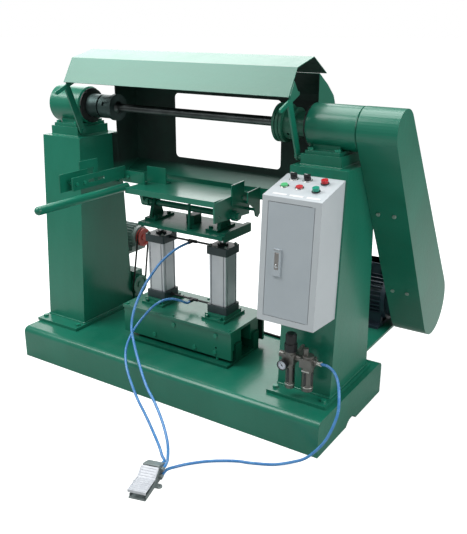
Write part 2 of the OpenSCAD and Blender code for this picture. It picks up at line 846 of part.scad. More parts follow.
// Door: a pan with returned edges. A silver plate on it carries the lock's swinging lever.
latch = [34, 7, 108];
latch_side_share = -0.24;
latch_rise_share = 0.37;
lever_w = 18;
lever_t = 4.6;
lever_rise = 26;
lever_len = 66;
lever_pin_r = 1.5;
latch_x = latch_side_share*door_w;
latch_z = door_rise + latch_rise_share*door_h;
lever_y = lever_t/2 - box_d - latch.y;
pin_z = latch_z + lever_rise + lever_len;
module box_door() {
    y = -box_d;
    t = box_t;
    g = move_gap;
    n = hinge_pin_len;
    color(grey) box_frame() union() {
        difference() {
            slab([-door_w/2, y, door_rise], [door_w/2, y + door_pan, door_rise + door_h]);
            slab([t - door_w/2, y + t, door_rise + t],
                 [door_w/2 - t, y + door_pan + cut, door_rise + door_h - t]);
        }
        for (z = [door_rise - n, door_rise + door_h - t])
            rod_z(z, z + n + t, hinge_x, y + pin_inset.y, hinge_pin_r);
    }
    color(steel) box_frame() difference() {
        slab([latch_x - latch.x/2, y - latch.y, latch_z], [latch_x + latch.x/2, y, latch_z + latch.z]);
        slab([latch_x - lever_w/2 - g, y - latch.y - cut, latch_z + lever_rise - g],
             [latch_x + lever_w/2 + g, lever_y + lever_t/2 + g, pin_z + lever_t/2 + g]);
        rod_x(latch_x - latch.x/2 - cut, latch_x + latch.x/2 + cut, lever_y, pin_z,
              lever_pin_r + run_gap);
    }
}

module door_latch() {
    color(steel) box_frame() union() {
        slab([latch_x - lever_w/2, lever_y - lever_t/2, latch_z + lever_rise],
             [latch_x + lever_w/2, lever_y + lever_t/2, pin_z]);
        rod_x(latch_x - lever_w/2, latch_x + lever_w/2, lever_y, pin_z, lever_t/2);
        rod_x(latch_x - latch.x/2, latch_x + latch.x/2, lever_y, pin_z, lever_pin_r);
    }
}

// ---- compressed-air unit on the right column's front: regulator and lubricator ----

air_rise = 200;
air_stand = 80;
air_z = base_h + air_rise;
air_y = col_front(air_z) - air_stand;
reg_left = 29;
lub_right = 52;
reg_x = right_col_x - reg_left;
lub_x = right_col_x + lub_right;
air_body_h = 50;
air_half = 27;
reg_bowl_r = 20;
lub_bowl_r = 24;
bowl_collar_h = 12;
reg_bowl_len = 118;
lub_bowl_len = 108;
port_r = 11;
dome_h = 28;
module air_unit() {
    z0 = air_z - air_body_h/2;
    z1 = air_z + air_body_h/2;
    h = air_half;
    zc = z0 - bowl_collar_h;
    color(steel) difference() {
        union() {
            for (x = [reg_x, lub_x]) slab([x - h, air_y - h, z0], [x + h, air_y + h, z1 - port_r]);
            rod_z(z1 - port_r, z1, reg_x, air_y, h);
            rod_z(z1 - port_r, z1, lub_x, air_y, lub_bowl_r);
            rod_z(z1, z1 + dome_h, lub_x - port_r, air_y, port_r);
            rod_x(reg_x - h - 2*port_r, lub_x + h + port_r, air_y, air_z, port_r*1.3);
            rod_z(zc, z0, reg_x, air_y, reg_bowl_r + port_r/4);
            rod_z(z0 - reg_bowl_len, zc, reg_x, air_y, reg_bowl_r);
            rod_z(zc, z0, lub_x, air_y, lub_bowl_r + port_r/4);
            rod_z(z0 - lub_bowl_len, zc, lub_x, air_y, lub_bowl_r);
            prism_x(reg_x + port_r, reg_x + 2*port_r) polygon([[air_y + h, z0], [col_front(z0), z0],
                [col_front(z1), z1], [air_y + h, z1 - port_r]]);
        }
        rod_z(z1 - button_h, z1 + cut, reg_x, air_y, stem_r + run_gap);
    }
}

// Turned knob in three steps, as [radius, height] shares of the body's half width and the knob
knob_h = 78;
knob_shares = [[1, 0.42], [0.86, 0.92], [0.7, 1]];
module regulator_knob() {
    r = air_half;
    h = knob_h;
    s = knob_shares;
    stem = button_h/2;
    color(black) translate([reg_x, air_y, air_z + air_body_h/2 + move_gap]) rotate_extrude()
        polygon([[0, -stem], [stem_r, -stem], [stem_r, 0], [r, 0], [s[0].x*r, s[0].y*h],
                 [s[1].x*r, s[0].y*h], [s[1].x*r, s[1].y*h], [s[2].x*r, h], [0, h]]);
}

gauge_r = 22;
gauge_t = 16;
gauge_rim = 3;
gauge_side = 15;
gauge_drop = 28;
stub_r = 6;
module pressure_gauge() {
    x = reg_x - gauge_side;
    z = air_z - gauge_drop;
    y = air_y - air_half - stub_r;
    color(black) difference() {
        rod_y(y - gauge_t, y, x, z, gauge_r);
        rod_y(y - gauge_t - cut, y - gauge_t + gauge_rim, x, z, gauge_r - gauge_rim);
    }
    color(steel) rod_y(y, y + stub_r, x, air_z - air_body_h/2 + stub_r, stub_r);
}

module air_elbow() {
    x = lub_x + air_half + port_r;
    color(steel) union() {
        rod_x(x, x + port_r, air_y, air_z, port_r*0.8);
        rod_x(x + port_r, x + 2*port_r, air_y, air_z, port_r);
    }
}

// ---- slide rails, carriage and cylinders ----

carriage_x = -30.5;
carriage_y0 = -115;
carriage_clear = 28;
carriage_x0 = carriage_x - carriage_w/2;
carriage_x1 = carriage_x + carriage_w/2;
carriage_y1 = carriage_y0 + carriage_d;
carriage_z0 = base_h + carriage_clear;
carriage_z1 = base_h + carriage_rise;
carriage_zt = carriage_z1 - carriage_top_t;
rail_plate_t = 13;
rail_front = 24;
rail_half_span = 77;
rail_w = 46;
rail_h = 92;
rail_in = 52;
rail_end = 2;
rail_x0 = carriage_x0 + rail_in;
rail_x1 = carriage_x1 - rail_end;
rail_z1 = base_h + rail_h;
rail_mid = (carriage_y0 + carriage_y1)/2;
function rail_y(s) = rail_mid + s*rail_half_span;
module slide_rails() {
    color(green) union() {
        slab([rail_x0, carriage_y0 - rail_front, base_h],
             [rail_x1, rail_y(1) + rail_w/2, base_h + rail_plate_t]);
        for (s = [-1, 1])
            slab([rail_x0, rail_y(s) - rail_w/2, base_h], [rail_x1, rail_y(s) + rail_w/2, rail_z1]);
    }
}

// A box open at both ends: top plate, front and back aprons, and two shoes that straddle the rails
apron_t = 14;
apron_in = 5;
shoe_side = 12;
shoe_drop = 30;
arm_out = 14;
push_back = 80;
push_rise = 24;
push_r = 8;
push_half = 10;
push_depth = 60;
push_y = carriage_y1 + push_back;
push_z = base_h + push_rise;
apron_hole_r = 5;
apron_hole_share = [0.87, 0.36];
module carriage_box() {
    g = move_gap;
    x0 = carriage_x0;
    x1 = carriage_x1;
    y0 = carriage_y0;
    y1 = carriage_y1;
    e = apron_in + apron_t;
    hole = [x0 + apron_hole_share.x*carriage_w,
            carriage_z0 + apron_hole_share.y*(carriage_zt - carriage_z0)];
    color(green) difference() {
        union() {
            slab([x0, y0, carriage_zt], [x1, y1, carriage_z1]);
            slab([x0 + apron_in, y0 + apron_in, carriage_z0], [x1, y0 + e, carriage_zt]);
            slab([x0 + apron_in, y1 - e, carriage_z0], [x1, y1 - apron_in, carriage_zt]);
            for (s = [-1, 1]) difference() {
                slab([x0 + apron_t, rail_y(s) - rail_w/2 - g - shoe_side, rail_z1 - shoe_drop],
                     [x1 - apron_t, rail_y(s) + rail_w/2 + g + shoe_side, carriage_zt]);
                slab([x0, rail_y(s) - rail_w/2 - g, rail_z1 - shoe_drop - cut],
                     [x1, rail_y(s) + rail_w/2 + g, rail_z1 + g]);
            }
            slab([x0 + apron_in, y1 - e, push_z - push_half],
                 [x0 + apron_in + arm_out, push_y + 2*push_half, push_z + push_half]);
        }
        rod_y(y0 - cut, y0 + e + cut, hole.x, hole.y, apron_hole_r);
    }
}

cap_screw_r = 7;
cap_screw_h = 5;
apron_bolt_r = 11;
apron_bolt_h = 5;
jack_r = 7;
jack_share = 0.876;
apron_bolt_shares = [[0.49, 0.81], [0.305, 0.20], [0.68, 0.16], [0.868, 0.84], [0.86, 0.18]];
top_screw_shares = [[0.03, 0.06], [0.47, 0.07], [0.97, 0.07], [0.03, 0.94], [0.50, 0.94],
                    [0.97, 0.94]];
module carriage_bolts() {
    y = carriage_y0 + apron_in;
    h = carriage_zt - carriage_z0;
    color(green) {
        for (share = apron_bolt_shares)
            hex_y(carriage_x0 + share.x*carriage_w, y, carriage_z0 + share.y*h,
                  apron_bolt_r, apron_bolt_h);
        for (share = top_screw_shares)
            rod_z(carriage_z1, carriage_z1 + cap_screw_h, carriage_x0 + share.x*carriage_w,
                  carriage_y0 + share.y*carriage_d, cap_screw_r);
        rod_z(base_h + rail_plate_t + move_gap, carriage_z0, carriage_x0 + jack_share*carriage_w,
              y + apron_t/2, jack_r);
    }
}

cyl_y = 40;
cyl_mid = -34.5;
function cyl_x(s) = cyl_mid + s*cyl_span/2;
foot_low = [130, 180, 12];
foot_high = [112, 146, 16];
foot_bolt_r = 8;
foot_bolt_h = 12;
foot_z1 = carriage_z1 + foot_low.z + foot_high.z;
barrel_z0 = foot_z1 + cap_h;
barrel_z1 = barrel_z0 + barrel_h;
cyl_top = barrel_z1 + cap_h;
module cylinder_feet() {
    y = (foot_low.y + foot_high.y)/4;
    color(green) for (s = [-1, 1]) translate([cyl_x(s), cyl_y, carriage_z1]) union() {
        slab([-foot_low.x/2, -foot_low.y/2, 0], [foot_low.x/2, foot_low.y/2, foot_low.z]);
        slab([-foot_high.x/2, -foot_high.y/2, foot_low.z],
             [foot_high.x/2, foot_high.y/2, foot_low.z + foot_high.z]);
        for (i = [-1, 1], j = [-1, 1])
            hex_z(i*foot_high.x/3, j*y, foot_low.z, foot_bolt_r, foot_bolt_h);
    }
}

cap_round = 6;
module cylinder_caps() {
    color([0.22, 0.24, 0.27]) for (s = [-1, 1]) {
        translate([cyl_x(s), cyl_y, foot_z1]) linear_extrude(cap_h)
            round_square(cap_s, cap_s, cap_round);
        translate([cyl_x(s), cyl_y, barrel_z1]) linear_extrude(cap_h) difference() {
            round_square(cap_s, cap_s, cap_round);
            circle(rod_r + run_gap);
        }
    }
}

// The barrel's square profile has two grooves a side
rib_w = 5;
rib_shares = [-0.36, 0.36];
module cylinder_barrels() {
    color(steel) for (s = [-1, 1]) translate([cyl_x(s), cyl_y, barrel_z0])
        linear_extrude(barrel_h) difference() {
            round_square(barrel_s, barrel_s, cap_round);
            circle(bore_r);
            for (a = [0 : 90 : 270], share = rib_shares) rotate(a)
                translate([barrel_s/2, share*barrel_s]) square([2*rib_w, rib_w], center = true);
        }
}

// Tees between the two caps of each level, with a branch to the front
tee_r = 8;
tee_arm = 22;
tee_out = 35;
tube_r = 5;
tee_x = -26;
tee_up = 26;
tee_low = 16;
tee_nut = 11;
module air_tees() {
    x0 = cyl_x(-1) + cap_s/2;
    x1 = cyl_x(1) - cap_s/2;
    color(black) for (z = [barrel_z1 + tee_up, foot_z1 + tee_low]) union() {
        rod_x(x0, x1, cyl_y, z, tube_r);
        rod_x(tee_x - tee_arm, tee_x + tee_arm, cyl_y, z, tee_r);
        rod_y(cyl_y - tee_out, cyl_y, tee_x, z, tee_r);
        rod_x(x0, x0 + tee_nut, cyl_y, z, tee_r);
        rod_x(x1 - tee_nut, x1, cyl_y, z, tee_r);
    }
}

module push_rod() {
    color(steel) rod_x(gear_x1 - push_depth, carriage_x0 + apron_in, push_y, push_z, push_r);
}

// ---- traverse drive behind the left column ----

trav_gap = 4;
gear_len = 124;
gear_h = 180;
gear_edge = 2;
gear_back = 230;
gear_rise = 102;
trav_back = 278;
trav_rise = 366;
gear_x1 = left_face + trav_gap/4;
gear_x0 = gear_x1 - gear_len;
gear_y0 = col_back(base_h) + flange_side + gear_edge;
gear_y1 = base_d/2 - gear_edge;
gear_c = [spindle_y + gear_back, base_h + gear_rise];
trav_c = [spindle_y + trav_back, base_h + trav_rise];
trav_pulley_w = 20;
trav_pulley_x = gear_x1 + trav_gap + trav_pulley_w/2;
trav_pulley_r = 50;
gear_pulley_r = 55;
gear_cap_r = 34;
gear_cap_t = 18;
trav_shaft_r = 9;
trav_groove = 8;
trav_shaft_in = 44;
module traverse_gearbox() {
    color(green) difference() {
        union() {
            slab([gear_x0, gear_y0, base_h], [gear_x1, gear_y1, base_h + gear_h]);
            rod_x(gear_x0 - gear_cap_t, gear_x0, gear_c.x, gear_c.y, gear_cap_r);
        }
        rod_x(gear_x1 - push_depth*1.5, gear_x1 + cut, push_y, push_z, push_r + run_gap);
        rod_x(gear_x1 - trav_shaft_in - trav_gap, gear_x1 + cut, gear_c.x, gear_c.y,
              trav_shaft_r + run_gap);
    }
}

// A pulley with one groove, a dished outer face and its shaft
module flat_pulley(c, r) {
    w = trav_pulley_w/2;
    g = trav_pulley_w/4;
    x = trav_pulley_x;
    x0 = gear_x1 - trav_shaft_in;
    s = trav_shaft_r;
    turned_x(c.x, c.y, [[0, x0], [s, x0], [s, x - w], [r, x - w], [r, x - g],
        [r - trav_groove, x - g], [r - trav_groove, x + g], [r, x + g], [r, x + w],
        [r*0.75, x + w], [r*0.75, x + g], [s*2, x + g], [s*2, x + w], [0, x + w]]);
}

module gearbox_pulley() {
    color(green) flat_pulley(gear_c, gear_pulley_r);
}

module traverse_pulley() {
    color([0.72, 0.12, 0.10]) flat_pulley(trav_c, trav_pulley_r);
}

trav_belt_w = 9;
trav_belt_t = 5;
module traverse_belt() {
    r1 = trav_pulley_r - trav_groove + move_gap;
    r2 = gear_pulley_r - trav_groove + move_gap;
    t = trav_belt_t;
    color(black) prism_x(trav_pulley_x - trav_belt_w/2, trav_pulley_x + trav_belt_w/2) difference() {
        loop2d(trav_c, r1 + t, gear_c, r2 + t);
        loop2d(trav_c, r1, gear_c, r2);
    }
}

trav_len = 165;
trav_body_r = 70;
trav_fins = 24;
trav_fin_t = 3;
trav_fin_h = 10;
trav_plate_t = 12;
trav_foot_half = 56;
module traverse_motor() {
    x1 = gear_x1;
    x0 = x1 - trav_len;
    xa = x0 + trav_len/4;
    xb = x1 - trav_len/8;
    z1 = trav_c.y - trav_body_r;
    z0 = z1 - trav_plate_t;
    z2 = z0 - trav_body_r;
    h = trav_foot_half;
    y = trav_c.x;
    color([0.72, 0.76, 0.80]) difference() {
        union() {
            rod_x(x0, x1, y, trav_c.y, trav_body_r - trav_fin_h);
            rod_x(x0, xa, y, trav_c.y, trav_body_r);
            prism_x(xa, xb) translate(trav_c)
                for (i = [0 : trav_fins - 1]) rotate(i*360/trav_fins)
                    translate([0, -trav_fin_t/2]) square([trav_body_r, trav_fin_t]);
            slab([xa, y - h, z1], [xb, y + h, z1 + 2*trav_fin_h]);
            prism_x(xa, xb) polygon([[col_back(z0), z0], [y + h, z0], [y + h, z1], [col_back(z1), z1]]);
            prism_x(xa, xa + trav_plate_t) polygon([[col_back(z0), z0], [y, z0], [col_back(z2), z2]]);
        }
        rod_x(x1 - trav_shaft_in - trav_gap, x1 + cut, y, trav_c.y, trav_shaft_r + run_gap);
    }
}

// ---- lift ----

lift_t = 16;
lift_x0 = -259;
lift_x1 = 223;
lift_y0 = -80;
lift_y1 = 165;
lift_z0 = cyl_top + rod_show;
lift_z1 = lift_z0 + lift_t;
piston_t = 30;
rod_block = [72, 78, 18];
module piston_rods() {
    color(steel) for (s = [-1, 1]) union() {
        rod_z(barrel_z0 + move_gap, barrel_z0 + piston_t, cyl_x(s), cyl_y, bore_r - move_gap);
        rod_z(barrel_z0 + piston_t, lift_z0 - rod_block.z, cyl_x(s), cyl_y, rod_r);
    }
}

strip_w = 22;
strip_h = 12;
rim_t = 8;
rim_h = 14;
module lift_plate() {
    y = lift_y0 + strip_w;
    color(green) union() {
        slab([lift_x0, lift_y0, lift_z0], [lift_x1, lift_y1, lift_z1]);
        slab([lift_x1 - strip_w, y, lift_z1], [lift_x1, lift_y1, lift_z1 + strip_h]);
        slab([lift_x1 - rim_t, y, lift_z0 - rim_h], [lift_x1, lift_y1, lift_z0]);
        slab([lift_x0, y, lift_z0 - rim_h], [lift_x0 + rim_t, lift_y1, lift_z0]);
        for (s = [-1, 1])
            translate([cyl_x(s) - rod_block.x/2, cyl_y - rod_block.y/2, lift_z0 - rod_block.z])
                cube(rod_block);
    }
}

// Posts with bores for the tilt shaft, on bolted feet, then a stop block and a stop screw
tilt_y = 45;
tilt_z = lift_z1 + tilt_rise;
table_z1 = tilt_z + table_rise;
post_x = [-246, 150];
post_t = 20;
post_half = 24;
post_in = 13;
post_foot = [64, 150, 10];
stop_block = [46, 60, 42];
stop_x = -28;
screw_x = 19;
screw_fore = 88;
screw_top_gap = 30;
module tilt_bearings() {
    z1 = lift_z1 + post_foot.z;
    y = tilt_y;
    color(green) for (i = [0, 1]) {
        x = post_x[i];
        xf = i == 0 ? x - post_in : x - post_foot.x + post_in;
        xb = i == 0 ? xf + post_foot.x - post_in : xf + post_in;
        union() {
            difference() {
                prism_x(x - post_t/2, x + post_t/2) union() {
                    translate([y, tilt_z]) circle(post_half);
                    polygon([[y - post_half, tilt_z], [y - 2*post_half, lift_z1],
                             [y + 2*post_half, lift_z1], [y + post_half, tilt_z]]);
                }
                rod_x(x - post_t, x + post_t, y, tilt_z, tilt_r + run_gap);
            }
            slab([xf, y - post_foot.y/2, lift_z1], [xf + post_foot.x, y + post_foot.y/2, z1]);
            for (s = [-1, 1]) hex_z(xb, y + s*post_foot.y/3, z1, apron_bolt_r, bolt_h);
        }
    }
    color(green) translate([stop_x - stop_block.x/2, y - stop_block.y/3, lift_z1]) cube(stop_block);
    color(green) union() {
        rod_z(lift_z1, table_z1 - wear_t - under_t - screw_top_gap, screw_x, y - screw_fore, jack_r);
        hex_z(screw_x, y - screw_fore, lift_z1, apron_bolt_r, bolt_h);
    }
}

// ---- rocking table ----

table_x0 = -316;
table_x1 = table_x0 + table_w;
table_y0 = -97;
table_y1 = table_y0 + table_d;
wear_t = 6;
under_t = 8;
front_edge = 12;
wear_r = 40;
lug_t = 12;
lug_half = 24;
module table_plate() {
    zw = table_z1 - wear_t;
    zu = zw - under_t;
    y1 = table_y0 + wear_d;
    x1 = table_x1;
    color(green) union() {
        difference() {
            slab([table_x0, table_y0, zw], [x1, y1, table_z1]);
            difference() {
                slab([x1 - wear_r, y1 - wear_r, zw - cut], [x1 + cut, y1 + cut, table_z1 + cut]);
                rod_z(zw - 2*cut, table_z1 + 2*cut, x1 - wear_r, y1 - wear_r, wear_r);
            }
        }
        slab([table_x0, table_y0, zu], [x1, table_y1, zw]);
        slab([table_x0, table_y0, zu - front_edge], [x1, table_y0 + wear_t, zu]);
        difference() {
            prism_x(table_x0 - lug_t/2, table_x0 + lug_t) union() {
                translate([tilt_y, tilt_z]) circle(lug_half);
                polygon([[tilt_y - lug_half, tilt_z], [tilt_y - 2*lug_half, zu],
                         [tilt_y + 2*lug_half, zu], [tilt_y + lug_half, tilt_z]]);
            }
            rod_x(table_x0 - lug_t, table_x0 + 2*lug_t, tilt_y, tilt_z, tilt_r);
        }
    }
}

side_t = 8;
module tilt_shaft() {
    x1 = table_x1 + side_t;
    color(steel) union() {
        rod_x(table_x0 - lug_t/2, x1 + 3*lug_t, tilt_y, tilt_z, tilt_r);
        rod_x(table_x0 + lug_t, table_x0 + 3*lug_t, tilt_y, tilt_z, lug_half);
        rod_x(x1, x1 + 2*lug_t, tilt_y, tilt_z, lug_half);
    }
}

// Right: a side plate that hangs beside the table, with a bore for the shaft
side_h = 112;
side_shares = [[-0.028, -0.054], [0.718, 0.071], [0.983, -0.125], [0.983, -1], [-0.017, -0.857]];
side_hole_share = [0.1, -0.62];
module right_bracket() {
    corner = [table_y0, table_z1];
    size = [table_d, side_h];
    p = placed([side_hole_share], corner, size)[0];
    color(green) difference() {
        prism_x(table_x1, table_x1 + side_t) polygon(placed(side_shares, corner, size));
        rod_x(table_x1 - cut, table_x1 + side_t + cut, tilt_y, tilt_z, tilt_r);
        rod_x(table_x1 - cut, table_x1 + side_t + cut, p.x, p.y, apron_hole_r);
    }
}

// Left: an angle of a slotted bar along Y and a face plate across the table's edge
bar_out = 93;
bar_len = 345;
bar_h = 60;
bar_rise = 18;
face_len = 132;
face_h = 57;
slot_r = 7;
slot_span = 95;
slot_start = 105;
bar_x = table_x0 - bar_out;
bar_z0 = table_z1 + bar_rise;
bar_mid = bar_z0 + bar_h/2;
module left_bracket() {
    color(green) difference() {
        union() {
            slab([bar_x, -bar_len, bar_z0], [bar_x + side_t, side_t, bar_z0 + bar_h]);
            slab([bar_x, 0, table_z1], [bar_x + face_len, side_t, table_z1 + face_h]);
        }
        prism_x(bar_x - cut, bar_x + side_t + cut) translate([slot_start - bar_len, bar_mid]) union() {
            circle(slot_r);
            translate([slot_span, 0]) circle(slot_r);
            translate([0, -slot_r]) square([slot_span, 2*slot_r]);
        }
    }
}

// Guide plates, each an outline in shares of its own size: two on the left bar, one on the table's
// rear left, two on the right side plate
guide_t = 6;
guide_stand = 34;
left_guide = [178, 82];
left_guide_shares = [[0, 0], [0, 1], [1, 1], [1, 0.585], [0.73, 0]];
hook = [115, 118];
hook_shares = [[0, 0.69], [0, 1], [1, 1], [1, 0], [0.78, 0], [0.78, 0.69]];
rear_guide = [114, 78];
rear_guide_y = 62;
rear_guide_foot = 40;
near_guide = [102, 96];
near_guide_shares = [[0, 0], [0, 0.96], [1, 1], [1, 0]];
far_guide = [106, 139];
far_guide_shares = [[0, 0.63], [0, 0.96], [1, 1], [1, 0.115], [0.83, 0], [0.66, 0.06], [0.53, 0.35]];
far_post_shares = [0.45, 0.24];
far_stand = 56;
guide_bolt_in = [24, 72];
module guide_plate(x, corner, size, shares) {
    prism_x(x, x + guide_t) polygon(placed(shares, corner, size));
}

module table_guides() {
    z = table_z1;
    t = guide_t;
    xl = bar_x - guide_stand;
    xr = table_x1 + side_t;
    xf = xr + t + far_stand;
    x2 = table_x0 + t + rear_guide.x;
    y = rear_guide_y;
    color(green) {
        union() {
            guide_plate(xl - t, [-bar_len - guide_bolt_in[1]/2, bar_z0 - t], left_guide,
                        left_guide_shares);
            for (gy = guide_bolt_in) rod_x(xl, bar_x, gy - bar_len, bar_mid, slot_r);
        }
        guide_plate(bar_x - t, [slot_start - slot_span/2 - bar_len, bar_z0 + t], hook, hook_shares);
        union() {
            slab([table_x0 + t, y, z], [x2, y + t, z + rear_guide.y]);
            slab([table_x0 + guide_stand, y, z], [x2, y + rear_guide_foot, z + t]);
        }
        guide_plate(xr, [y - guide_stand, z - rear_guide_foot], near_guide, near_guide_shares);
        union() {
            guide_plate(xf, [y, z - side_h], far_guide, far_guide_shares);
            for (share = far_post_shares)
                rod_x(xr, xf, y + far_guide.x*0.85, z - side_h + share*far_guide.y, slot_r);
        }
    }
}

guide_bolt_r = 9;
guide_bolt_h = 7;
module table_bolts() {
    r = guide_bolt_r;
    h = guide_bolt_h;
    color(steel) {
        for (gy = guide_bolt_in) hex_x(bar_x + side_t, gy - bar_len, bar_mid, r, h);
        hex_x(table_x1 + side_t + guide_t, rear_guide_y + near_guide.x/2,
              table_z1 - rear_guide_foot/2, r, h);
        hex_y(bar_x + guide_stand, 0, table_z1 + face_h/2, r, h);
    }
}

handle_in = 37;
module handle() {
    y1 = table_y0 + handle_in;
    x = table_x0 - handle_r;
    z = table_z1 - wear_t/2;
    color(green) union() {
        rod_y(y1 - handle_len, y1, x, z, handle_r);
        translate([x, y1 - handle_len, z]) sphere(handle_r);
    }
}

// ---- foot valve on the floor, in its own frame: X across, Y from its front to its heel ----

valve_at = [411, -925, 0];
valve_deg = 15;
valve_wall = 3;
valve_foot_t = 5;
valve_half = treadle_w/2 - valve_wall;
hinge_share = [0.61, 0.73];
hinge_r = 4;
hinge_y = hinge_share.x*valve_len;
hinge_z = hinge_share.y*valve_h;
cheek_shares = [[0.04, 0.05], [0.04, 0.22], [0.45, 0.33], [0.55, 0.56], [0.58, 0.7], [0.64, 0.8],
                [0.70, 0.8], [0.70, 0.05]];
heel_shares = [[0.69, 0.05], [0.71, 0.96], [0.76, 0.96], [1, 0.7], [1, 0.05]];
ear_r = 12;
ear_out = 14;
ear_share = 0.52;
ear_hole_r = 3;
fitting_r = 8;
fitting_len = 15;
fitting_out = 8;
fitting_shares = [[0.815, 0.68], [0.735, 0.33]];
rear_fitting_share = [0.4, 0.42];
module valve_frame() {
    translate(valve_at) rotate([0, 0, valve_deg]) children();
}

module foot_valve() {
    h = valve_half;
    size = [valve_len, valve_h];
    e = ear_share*valve_len;
    xe = h + ear_out;
    rear = [rear_fitting_share.x*treadle_w/2, rear_fitting_share.y*valve_h];
    color([0.45, 0.48, 0.50]) valve_frame() difference() {
        union() {
            slab([-h, 0, 0], [h, valve_len, valve_foot_t]);
            for (x = [-h, h - valve_wall]) prism_x(x, x + valve_wall)
                polygon(placed(cheek_shares, [0, 0], size));
            prism_x(-h, h) polygon(placed(heel_shares, [0, 0], size));
            rod_x(-h, h, hinge_y, hinge_z, hinge_r);
            for (s = [-1, 1]) rod_z(0, valve_foot_t, s*xe, e, ear_r);
            slab([-xe, e - ear_r, 0], [xe, e + ear_r, valve_foot_t]);
            for (share = fitting_shares) {
                y = share.x*valve_len;
                z = share.y*valve_h;
                rod_x(0, h + fitting_out, y - fitting_len/2, z, fitting_r*0.8);
                rod_y(y - fitting_len, y, h + fitting_out, z, fitting_r);
            }
            rod_y(valve_len, valve_len + fitting_len, rear.x, rear.y, fitting_r);
        }
        for (s = [-1, 1]) rod_z(-cut, valve_foot_t + cut, s*xe, e, ear_hole_r);
    }
}

tread_shares = [[0, 0.40], [0, 0.575], [0.46, 0.575], [0.665, 0.98]];
tab_t = 4;
tab_half = 9;
module foot_pedal() {
    h = treadle_w/2;
    e = valve_half - valve_wall - move_gap;
    p = placed(tread_shares, [0, 0], [valve_len, valve_h]);
    color([0.82, 0.85, 0.87]) valve_frame() difference() {
        union() {
            prism_x(-h, h) bent_sheet(p, -valve_wall);
            for (x = [-e, e - tab_t]) prism_x(x, x + tab_t) intersection() {
                union() {
                    translate([hinge_y, hinge_z]) circle(tab_half);
                    translate([hinge_y - tab_half, hinge_z]) square([2*tab_half, valve_h/2]);
                }
                polygon([p[1], p[2], p[3], [p[3].x, 0], [0, 0]]);
            }
        }
        rod_x(-h - cut, h + cut, hinge_y, hinge_z, hinge_r + run_gap);
    }
}

// ---- hoses and a cable: tubes swept along routes chosen by hand ----

route_upper = [[-26, 4.6, 673], [-26, -16, 673], [-42, -50, 662], [-62, -80, 642], [-88, -130, 602],
    [-100, -185, 555], [-104, -245, 505], [-100, -310, 435], [-80, -360, 368], [-30, -405, 312],
    [45, -460, 250], [125, -515, 200], [220, -572, 168], [305, -630, 132], [370, -685, 95],
    [400, -724, 60], [406.6, -746.1, 44.9], [412.76, -769.28, 44.88]];
route_lower = [[-26, 4.6, 374], [-26, -16, 374], [-45, -45, 392], [-75, -75, 404], [-110, -105, 396],
    [-150, -135, 360], [-180, -185, 305], [-182, -240, 268], [-165, -300, 235], [-135, -350, 208],
    [-85, -400, 170], [-10, -455, 135], [65, -505, 108], [155, -560, 85], [240, -615, 62],
    [310, -665, 48], [345, -692, 34], [367.6, -705.8, 27.72], [373.79, -728.9, 27.72]];
route_supply = [[796, -215.4, 360], [822, -215.4, 360], [853, -227, 353], [887, -256, 335],
    [912, -290, 300], [928, -325, 240], [920, -352, 180], [898, -368, 120], [865, -378, 70],
    [830, -392, 32], [790, -412, 12], [728, -466, 6.5], [645, -508, 6.5], [600, -524, 6.5],
    [545, -556, 6.5], [490, -598, 6.5], [440, -652, 7], [412, -700, 10], [406, -735, 18],
    [410.36, -760.3, 21.78], [416.57, -783.45, 21.78]];
cable_d = 12;
cable_in = 77;
// The cable's way as shares from the gearbox to the right column, and distances behind the flanges
cable_way = [[0, 40.5], [0.16, 40.5], [0.48, 40.5], [0.646, 38.5], [0.695, 34.5], [0.727, 31.5],
    [0.808, 31.5], [0.938, 31.5], [0.987, 27.5], [1, 15.5], [1, 0.1]];
route_cable = [for (w = cable_way) [gear_x1 + w.x*(right_face + cable_in - gear_x1),
    col_back(base_h) + flange_side + w.y, base_h + cable_d/2]];

// A Catmull-Rom point in the middle of a stretch, added where the route bends
bend_share = 0.955;
function middle(p, i) =
    let (n = len(p) - 1, a = p[max(i - 1, 0)], d = p[min(i + 2, n)])
    (9*(p[i] + p[i + 1]) - a - d)/16;
function bends(p, i) = i > 0 && i < len(p) - 1 &&
    (p[i] - p[i - 1])*(p[i + 1] - p[i])/norm(p[i] - p[i - 1])/norm(p[i + 1] - p[i]) < bend_share;
function rounded(p) = [for (i = [0 : len(p) - 1])
    each (i > 0 && i < len(p) - 2 && (bends(p, i) || bends(p, i + 1)) ? [p[i], middle(p, i)] : [p[i]])];
function tangent(p, i) =
    let (d = p[min(i + 1, len(p) - 1)] - p[max(i - 1, 0)]) d/norm(d);
function across(u, t) = let (v = u - (u*t)*t) v/norm(v);
function sides_at(p, i, u) = i >= len(p) ? [] :
    let (t = tangent(p, i), s = across(u, t)) concat([[s, cross(t, s)]], sides_at(p, i + 1, s));
hose_sides = 8;
module hose(points, up, d) {
    p = rounded(points);
    n = hose_sides;
    f = sides_at(p, 0, up);
    rings = [for (i = [0 : len(p) - 1], j = [0 : n - 1])
        p[i] + d/2*(f[i][0]*cos(j*360/n) + f[i][1]*sin(j*360/n))];
    walls = [for (i = [0 : len(p) - 2], j = [0 : n - 1]) let (k = (j + 1) % n)
        each [[i*n + j, (i + 1)*n + j, (i + 1)*n + k], [i*n + j, (i + 1)*n + k, i*n + k]]];
    ends = [[for (j = [0 : n - 1]) j], [for (j = [n - 1 : -1 : 0]) (len(p) - 1)*n + j]];
    polyhedron(rings, concat(walls, ends));
}

module hose_upper() {
    color(blue) hose(route_upper, [1, 0, 0], hose_d);
}

module hose_lower() {
    color(blue) hose(route_lower, [1, 0, 0], hose_d);
}

module hose_supply() {
    color(blue) hose(route_supply, [0, 0, 1], hose_d);
}

module base_cable() {
    color(black) hose(route_cable, [0, 0, 1], cable_d);
}

